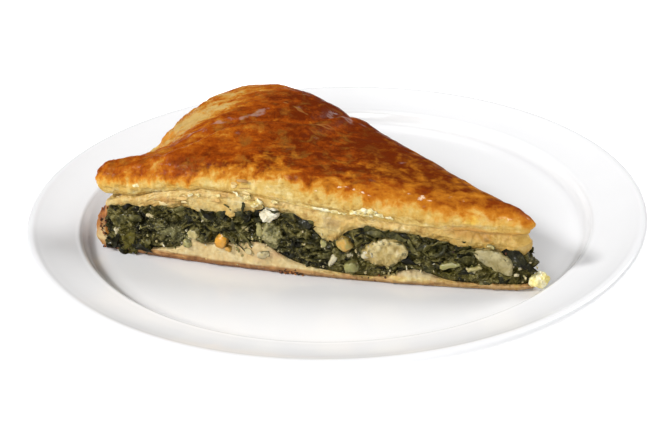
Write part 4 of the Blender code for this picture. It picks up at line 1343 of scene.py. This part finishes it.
# Crumbs scattered by a bell curve round the middle of each cluster, then the single ones.
def crumbPiece():
    form = crumbForm
    rng = np.random.default_rng(form["drawSeed"])
    groups = []                                # distance, height, proud, colour, tilt, half sizes
    for along, up, spreadAlong, spreadUp, many in form["clusters"]:
        distance, height = rng.normal(along, spreadAlong, many), rng.normal(up, spreadUp, many)
        size = rng.uniform(*form["size"], many)
        width, length = size * rng.uniform(0.7, 1.2, many), size * rng.uniform(0.9, 1.9, many)
        proud, hue = rng.uniform(-0.0002, 0.0005, many), rng.uniform(0.0, 0.65, many)
        tilt, halves = rng.uniform(-1.5, 1.5, many), np.column_stack([size, width, length])
        groups.append((distance, height, proud, hue, tilt, halves))
    distance, height, halfLength, halfHeight, angle, hue = np.array(form["singles"]).T
    halves = np.column_stack([np.minimum(halfLength, halfHeight) * 0.8, halfHeight, halfLength])
    groups.append((distance, height, np.full(len(hue), form["proud"]), hue, np.radians(angle), halves))
    distance, height, proud, hue, tilt, halves = map(np.concatenate, zip(*groups))
    distance = np.minimum(distance, form["furthest"])
    parts = [laidScraps("front", distance, floorZ + height, proud, tilt, np.zeros(len(tilt)))]
    return scrapPiece("cheeseCrumbs", form, parts, halves, np.zeros(len(halves)), {"hue": hue})


# Each crumb has a colour of its own and is dirty round its outline.
def crumbFinish():
    finish = Finish("cheeseCrumb", Coat_Roughness=0.15, IOR=1.4, Subsurface_Weight=0.15,
                    Subsurface_Radius=(0.003, 0.002, 0.001))
    patch = finish.noise(420.0, 4.0, roughness=0.65)
    colour = finish.ramp(finish.attribute("hue") + (patch - 0.5) * 0.70, *crumbForm["colours"])
    dirt = (finish.attribute("rim") + (patch - 0.5) * 2.2).between(0.66, 1.10) * 0.80
    finish.feed("Base Color", finish.blend(dirt, colour, crumbForm["dirt"]))
    finish.feed("Roughness", 0.38 + (patch - 0.5) * 0.3)
    finish.feed("Coat Weight", patch.between(0.3, 0.5) * 0.4)
    finish.bumped(patch, 0.0006, 0.5)
    return finish.material


dressed(crumbPiece(), crumbFinish(), "feta_crumb")


# melted cheese that has run out along the seam under the lid
meltForm = {
    "rough": (0.0009, 0.0014), "noiseSeed": 61, "grid": (12, 18), "square": 1.0, "proud": 0.0003,
    "colours": ((0.36, (0.56, 0.40, 0.10)), (0.50, (0.70, 0.59, 0.27)), (0.64, (0.84, 0.78, 0.52))),
    "spots": (                                 # distance, height, half length, half height, tilt
        (0.0200, 0.0296, 0.0016, 0.0007, 0), (0.0420, 0.0287, 0.0013, 0.0006, 5),
        (0.0452, 0.0290, 0.0012, 0.0006, -8), (0.0530, 0.0298, 0.0012, 0.0006, 0),
        (0.0605, 0.0312, 0.0016, 0.0005, -40), (0.0648, 0.0303, 0.0014, 0.0009, 20),
        (0.0672, 0.0278, 0.0018, 0.0013, 10), (0.0692, 0.0292, 0.0016, 0.0010, -20),
        (0.0752, 0.0296, 0.0014, 0.0007, 0), (0.0905, 0.0286, 0.0040, 0.0005, -4),
        (0.0965, 0.0280, 0.0036, 0.0006, -4), (0.1008, 0.0276, 0.0016, 0.0005, 0),
        (0.1055, 0.0283, 0.0022, 0.0008, 8), (0.1085, 0.0291, 0.0024, 0.0010, 12),
        (0.1115, 0.0290, 0.0022, 0.0010, -10), (0.1140, 0.0278, 0.0022, 0.0008, -16),
        (0.1095, 0.0274, 0.0026, 0.0007, -4), (0.1180, 0.0270, 0.0016, 0.0006, -10),
    ),
}


# Flattened beads at their own places along the seam.
def meltPiece():
    distance, height, halfLength, halfHeight, tilt = np.array(meltForm["spots"]).T
    proud, level = np.full(len(tilt), meltForm["proud"]), np.zeros(len(tilt))
    parts = [laidScraps("front", distance, floorZ + height, proud, np.radians(tilt), level)]
    halves = np.column_stack([halfHeight * 0.7, halfHeight, halfLength])
    return scrapPiece("meltedCheese", meltForm, parts, halves, level)


# Glossy, from cream to yellow.
def meltFinish():
    finish = Finish("meltedCheese", Coat_Weight=0.35, Coat_Roughness=0.05, IOR=1.42, Subsurface_Weight=0.2,
                    Subsurface_Radius=(0.003, 0.0025, 0.001))
    patch = finish.noise(330.0, 3.0)
    finish.feed("Base Color", finish.ramp(patch, *meltForm["colours"]))
    finish.feed("Roughness", 0.22 + (patch - 0.5) * 0.3)
    finish.bumped(patch, 0.0006, 0.5)
    return finish.material


dressed(meltPiece(), meltFinish(), "top_crust")


# charred crumbs at the foot of the crust
charForm = {
    "clusters": (                              # distance, height, spread along, spread up, how many
        (0.0030, 0.0085, 0.0016, 0.0030, 40), (0.0060, 0.0035, 0.0025, 0.0016, 40),
        (0.0810, 0.0012, 0.0022, 0.0008, 44), (0.1010, 0.0018, 0.0300, 0.0008, 30),
        (0.0560, 0.0060, 0.0080, 0.0018, 8), (0.1330, 0.0150, 0.0300, 0.0040, 10),
    ),
    "size": (0.00012, 0.00050), "reach": (0.0008, 0.1600), "lowest": 0.0004,
    "rough": (0.0004, 0.0009), "drawSeed": 43, "noiseSeed": 67, "grid": (5, 8), "square": 1.0,
    "colours": (
        (0.20, (0.010, 0.005, 0.003)), (0.45, (0.050, 0.016, 0.006)), (0.62, (0.20, 0.055, 0.011)),
        (0.80, (0.46, 0.18, 0.035)),
    ),
}


# Crumbs scattered by a bell curve round the middle of each cluster.
def charPiece():
    form = charForm
    rng = np.random.default_rng(form["drawSeed"])
    groups = [np.column_stack([rng.normal(along, spreadAlong, many), rng.normal(up, spreadUp, many)])
              for along, up, spreadAlong, spreadUp, many in form["clusters"]]
    distance, height = np.concatenate(groups).T
    distance, height = np.clip(distance, *form["reach"]), floorZ + np.maximum(height, form["lowest"])
    many = len(distance)
    size = rng.uniform(*form["size"], many)
    width, length = size * rng.uniform(0.6, 1.2, many), size * rng.uniform(0.8, 1.6, many)
    proud, tilt = rng.uniform(-0.0003, 0.0002, many), rng.uniform(-1.5, 1.5, many)
    level, values = np.zeros(many), {"shade": rng.uniform(0.0, 1.0, many)}
    parts = [laidScraps("front", distance, height, proud, tilt, level)]
    halves = np.column_stack([size * 0.8, width, length])
    return scrapPiece("charredCrumbs", form, parts, halves, level, values)


# From black to amber, by the crumb.
def charFinish():
    finish = Finish("charredCrumb", IOR=1.4)
    patch = finish.noise(600.0, 3.0)
    tone = finish.attribute("shade") * 0.6 + patch * 0.4
    finish.feed("Base Color", finish.ramp(tone, *charForm["colours"]))
    finish.feed("Roughness", 0.5 + (patch - 0.5) * 0.4)
    finish.bumped(patch, 0.0005, 0.6)
    return finish.material


dressed(charPiece(), charFinish(), "bottom_crust")
print("crumbs and melted cheese made")


# larger pieces set into the cut
lumpForms = {                                  # outline as distance and height, depth behind and before
    "fetaLump": {
        "outline": ((0.1072, 0.0118), (0.1098, 0.0150), (0.1132, 0.0174), (0.1192, 0.0182), (0.1228, 0.0170),
                    (0.1248, 0.0142), (0.1242, 0.0114), (0.1212, 0.0100), (0.1190, 0.0082), (0.1154, 0.0070),
                    (0.1124, 0.0080), (0.1094, 0.0090)),
        "depth": (0.0080, 0.0014), "square": 0.60, "rough": (0.0006, 0.0024), "fine": (0.00010, 0.0009),
        "noiseSeed": 131, "node": "feta_lump", "finish": "goldenFeta", "wet": 0.3, "dirt": 0.90,
        "colours": ((0.26, 0.180, 0.048), (0.44, 0.320, 0.105), (0.62, 0.51, 0.25))},
    "cheeseSlab": {
        "outline": ((0.1478, 0.0150), (0.1518, 0.0162), (0.1560, 0.0160), (0.1596, 0.0145), (0.1620, 0.0124),
                    (0.1624, 0.0096), (0.1619, 0.0060), (0.1590, 0.0078), (0.1552, 0.0100), (0.1516, 0.0122)),
        "depth": (0.0060, 0.0008), "square": 0.36, "rough": (0.0004, 0.0040), "fine": (0.00010, 0.0012),
        "noiseSeed": 137, "node": "cheese_slab", "finish": "paleSlab", "wet": 0.2, "dirt": 0.60,
        "colours": ((0.24, 0.190, 0.062), (0.36, 0.295, 0.125), (0.46, 0.39, 0.20))},
    "fetaCrumb": {
        "outline": ((0.0690, 0.0234), (0.0700, 0.0254), (0.0728, 0.0262), (0.0748, 0.0264), (0.0763, 0.0246),
                    (0.0746, 0.0224), (0.0706, 0.0220)),
        "depth": (0.0040, 0.0013), "square": 0.60, "rough": (0.0007, 0.0024), "fine": (0.00018, 0.0008),
        "noiseSeed": 139, "node": "feta_crumb", "finish": "whiteFeta", "wet": 0.3, "dirt": 0.35,
        "colours": ((0.55, 0.48, 0.30), (0.72, 0.65, 0.47), (0.82, 0.78, 0.63))},
    "onionPiece": {
        "outline": ((0.0706, 0.0196), (0.0733, 0.0208), (0.0762, 0.0186), (0.0764, 0.0150), (0.0742, 0.0106),
                    (0.0718, 0.0114), (0.0704, 0.0143)),
        "depth": (0.0040, 0.0011), "square": 0.70, "rough": (0.0009, 0.0030), "fine": (0.00030, 0.0011),
        "noiseSeed": 149, "node": "onion_piece", "finish": "softOnion", "wet": 0.6, "dirt": 0.8,
        "colours": ((0.085, 0.078, 0.020), (0.20, 0.175, 0.058), (0.42, 0.37, 0.17))},
    "tipCheese": {
        "outline": ((0.1674, 0.0044), (0.1686, 0.0060), (0.1712, 0.0067), (0.1740, 0.0060), (0.1748, 0.0044),
                    (0.1734, 0.0028), (0.1702, 0.0023)),
        "depth": (0.0030, 0.0028), "square": 0.85, "rough": (0.0007, 0.0028), "fine": (0.00015, 0.0010),
        "noiseSeed": 151, "node": "tip_cheese", "finish": "yellowDab", "wet": 0.4, "dirt": 0.10,
        "colours": ((0.70, 0.50, 0.08), (0.82, 0.70, 0.25), (0.87, 0.81, 0.53))},
}
lumpGrid = (56, 96)                            # rings, places round each


# A ball whose pole points out of the cut, stretched to the outline's reach, which is read off
# between its places by angle, made flatter by raising its coordinates to a power below one, and
# roughened by noise.
def lumpPiece(name, form):
    outline = np.array(form["outline"])
    middle = outline.mean(axis=0)
    gap = outline - middle
    rings, segments = lumpGrid
    turn = np.arange(segments) / segments * 2.0 * np.pi
    reach = np.interp(turn, np.arctan2(gap[:, 1], gap[:, 0]), np.hypot(*gap.T), period=2.0 * np.pi)
    reach = sum(np.roll(reach, step) for step in (2, 1, 0, -1, -2)) / 5.0
    lift = np.linspace(-0.5 * np.pi, 0.5 * np.pi, rings + 2)[1:-1, None]
    behind, before = form["depth"]
    depth = np.sign(lift) * np.abs(np.sin(lift)) ** form["square"] * np.where(lift > 0.0, before, behind)
    spread = np.cos(lift) ** form["square"]
    places, outward, ahead = cutPlaces("front", middle[:1], floorZ + middle[1], np.zeros(1))
    up = np.cross(outward, ahead)
    rows = places[0] + depth[..., None] * outward[0] + (spread * reach * np.cos(turn))[..., None] * ahead[0]
    rows = rows + (spread * reach * np.sin(turn))[..., None] * up[0]
    amount, size = form["rough"]
    fineAmount, fineSize = form["fine"]
    seed = form["noiseSeed"]
    relief = grains(rows, size, 2, seed) * amount + creases(rows, fineSize, 2, seed + 5) * fineAmount
    rim = np.broadcast_to(spread, relief.shape)
    return closedPiece(name, pushedOut(rows, relief), {"relief": relief / amount, "rim": rim})


# Three colours by noise and relief, dirtied by the filling round the outline.
def cheeseFinish(form):
    finish = Finish(form["finish"], Coat_Roughness=0.15, IOR=1.4, Subsurface_Weight=0.15,
                    Subsurface_Radius=(0.003, 0.002, 0.001))
    patch = finish.noise(170.0, 4.0, roughness=0.6, warp=0.5)
    fine = finish.noise(900.0, 3.0)
    tone = patch * 0.8 + finish.attribute("relief") * 0.12 + (fine - 0.5) * 0.2 + 0.1
    body = finish.ramp(tone, *zip((0.34, 0.50, 0.66), form["colours"]))
    spots = finish.noise(420.0, 4.0, roughness=0.65)
    dirt = (finish.attribute("rim") * 0.9 + (spots - 0.5) * 3.2).between(0.75, 1.20) * form["dirt"]
    finish.feed("Base Color", finish.blend(dirt, body, (0.095, 0.085, 0.026)))
    finish.feed("Roughness", 0.36 + (fine - 0.5) * 0.3)
    finish.feed("Coat Weight", patch.between(0.4, 0.6) * form["wet"])
    finish.bumped(patch + fine * 0.4, 0.0007, 0.5)
    return finish.material


for name, form in lumpForms.items():
    dressed(lumpPiece(name, form), cheeseFinish(form), form["node"], form["node"])
print("cheese and onion made")


# floor, light and camera
stageForm = {
    "cameraDistance": 0.590, "elevation": 26.8, "roll": 1.7, "focal": 81.9,
    "aim": (-0.0026, -0.0044, 0.0125),         # right, up and height of the point in the middle
    "floor": ((0.90, 0.90, 0.905), (0.93, 0.93, 0.93)), "floorGlow": 0.5, "floorReach": 6.0,
    "lightTarget": (0.0, 0.0, 0.02),
    "lights": {                                # turn from +X, angle over the floor, distance, size, power
        "keyLight": (200.0, 39.0, 3.0, 0.50, 64.0), "rightSoftbox": (28.0, 42.0, 1.4, 0.80, 13.5),
        "topSoftbox": (185.0, 68.0, 1.6, 0.70, 3.0), "frontFill": (254.0, 28.0, 2.2, 0.80, 20.0),
    },
    "sky": (0.93, 0.96, 1.0), "skyStrength": 0.072,
}


# One level square, a little below what stands on it.
def floorPiece():
    corners = np.array([(-1, -1, 0), (1, -1, 0), (1, 1, 0), (-1, 1, 0)]) * stageForm["floorReach"]
    floor = meshPiece("studioFloor", corners - (0, 0, 0.0002), np.array([[0, 1, 2, 3]]))
    finish = Finish("paleFloor", Roughness=0.9, Emission_Strength=stageForm["floorGlow"],
                    Emission_Color=(1.0, 1.0, 1.0, 1.0))
    finish.feed("Base Color", finish.blend(finish.noise(3.0, 1.0), *stageForm["floor"]))
    floor.data.materials.append(finish.material)


# A round lamp at a turn, an angle over the floor and a distance, aimed at the slice.
def areaLight(name, turn, lift, distance, size, power):
    flat = cos(radians(lift)) * distance
    place = Vector((cos(radians(turn)) * flat, sin(radians(turn)) * flat, sin(radians(lift)) * distance))
    light = bpy.data.lights.new(name, "AREA")
    light.shape = "DISK"
    light.size = size
    light.energy = power
    lamp = bpy.data.objects.new(name, light)
    lamp.location = place
    lamp.rotation_euler = (Vector(stageForm["lightTarget"]) - place).to_track_quat("-Z", "Y").to_euler()
    bpy.context.scene.collection.objects.link(lamp)


def makeSky():
    world = bpy.data.worlds.new("studio")
    world.use_nodes = True
    background = world.node_tree.nodes["Background"]
    background.inputs["Color"].default_value = (*stageForm["sky"], 1.0)
    background.inputs["Strength"].default_value = stageForm["skyStrength"]
    bpy.context.scene.world = world


# Looks along the elevation from -Y at the aim, turned about its own axis by the roll.
def makeCamera():
    tilt, roll = radians(stageForm["elevation"]), radians(stageForm["roll"])
    back = Vector((0.0, -cos(tilt), sin(tilt)))
    right = Vector((1.0, 0.0, 0.0))
    up = back.cross(right)
    turned = Matrix((right, up, back)).transposed() @ Matrix.Rotation(-roll, 3, "Z")
    aimRight, aimUp, aimHeight = stageForm["aim"]
    target = Vector((0.0, 0.0, aimHeight)) + turned.col[0] * aimRight + turned.col[1] * aimUp
    camera = bpy.data.cameras.new("camera")
    camera.lens = stageForm["focal"]
    camera.sensor_width = 36.0
    holder = bpy.data.objects.new("camera", camera)
    holder.matrix_world = Matrix.Translation(target + back * stageForm["cameraDistance"]) @ turned.to_4x4()
    bpy.context.scene.collection.objects.link(holder)
    bpy.context.scene.camera = holder


floorPiece()
for name, settings in stageForm["lights"].items():
    areaLight(name, *settings)
makeSky()
bpy.context.scene.view_settings.view_transform = "Standard"
makeCamera()
print("floor, light and camera made")
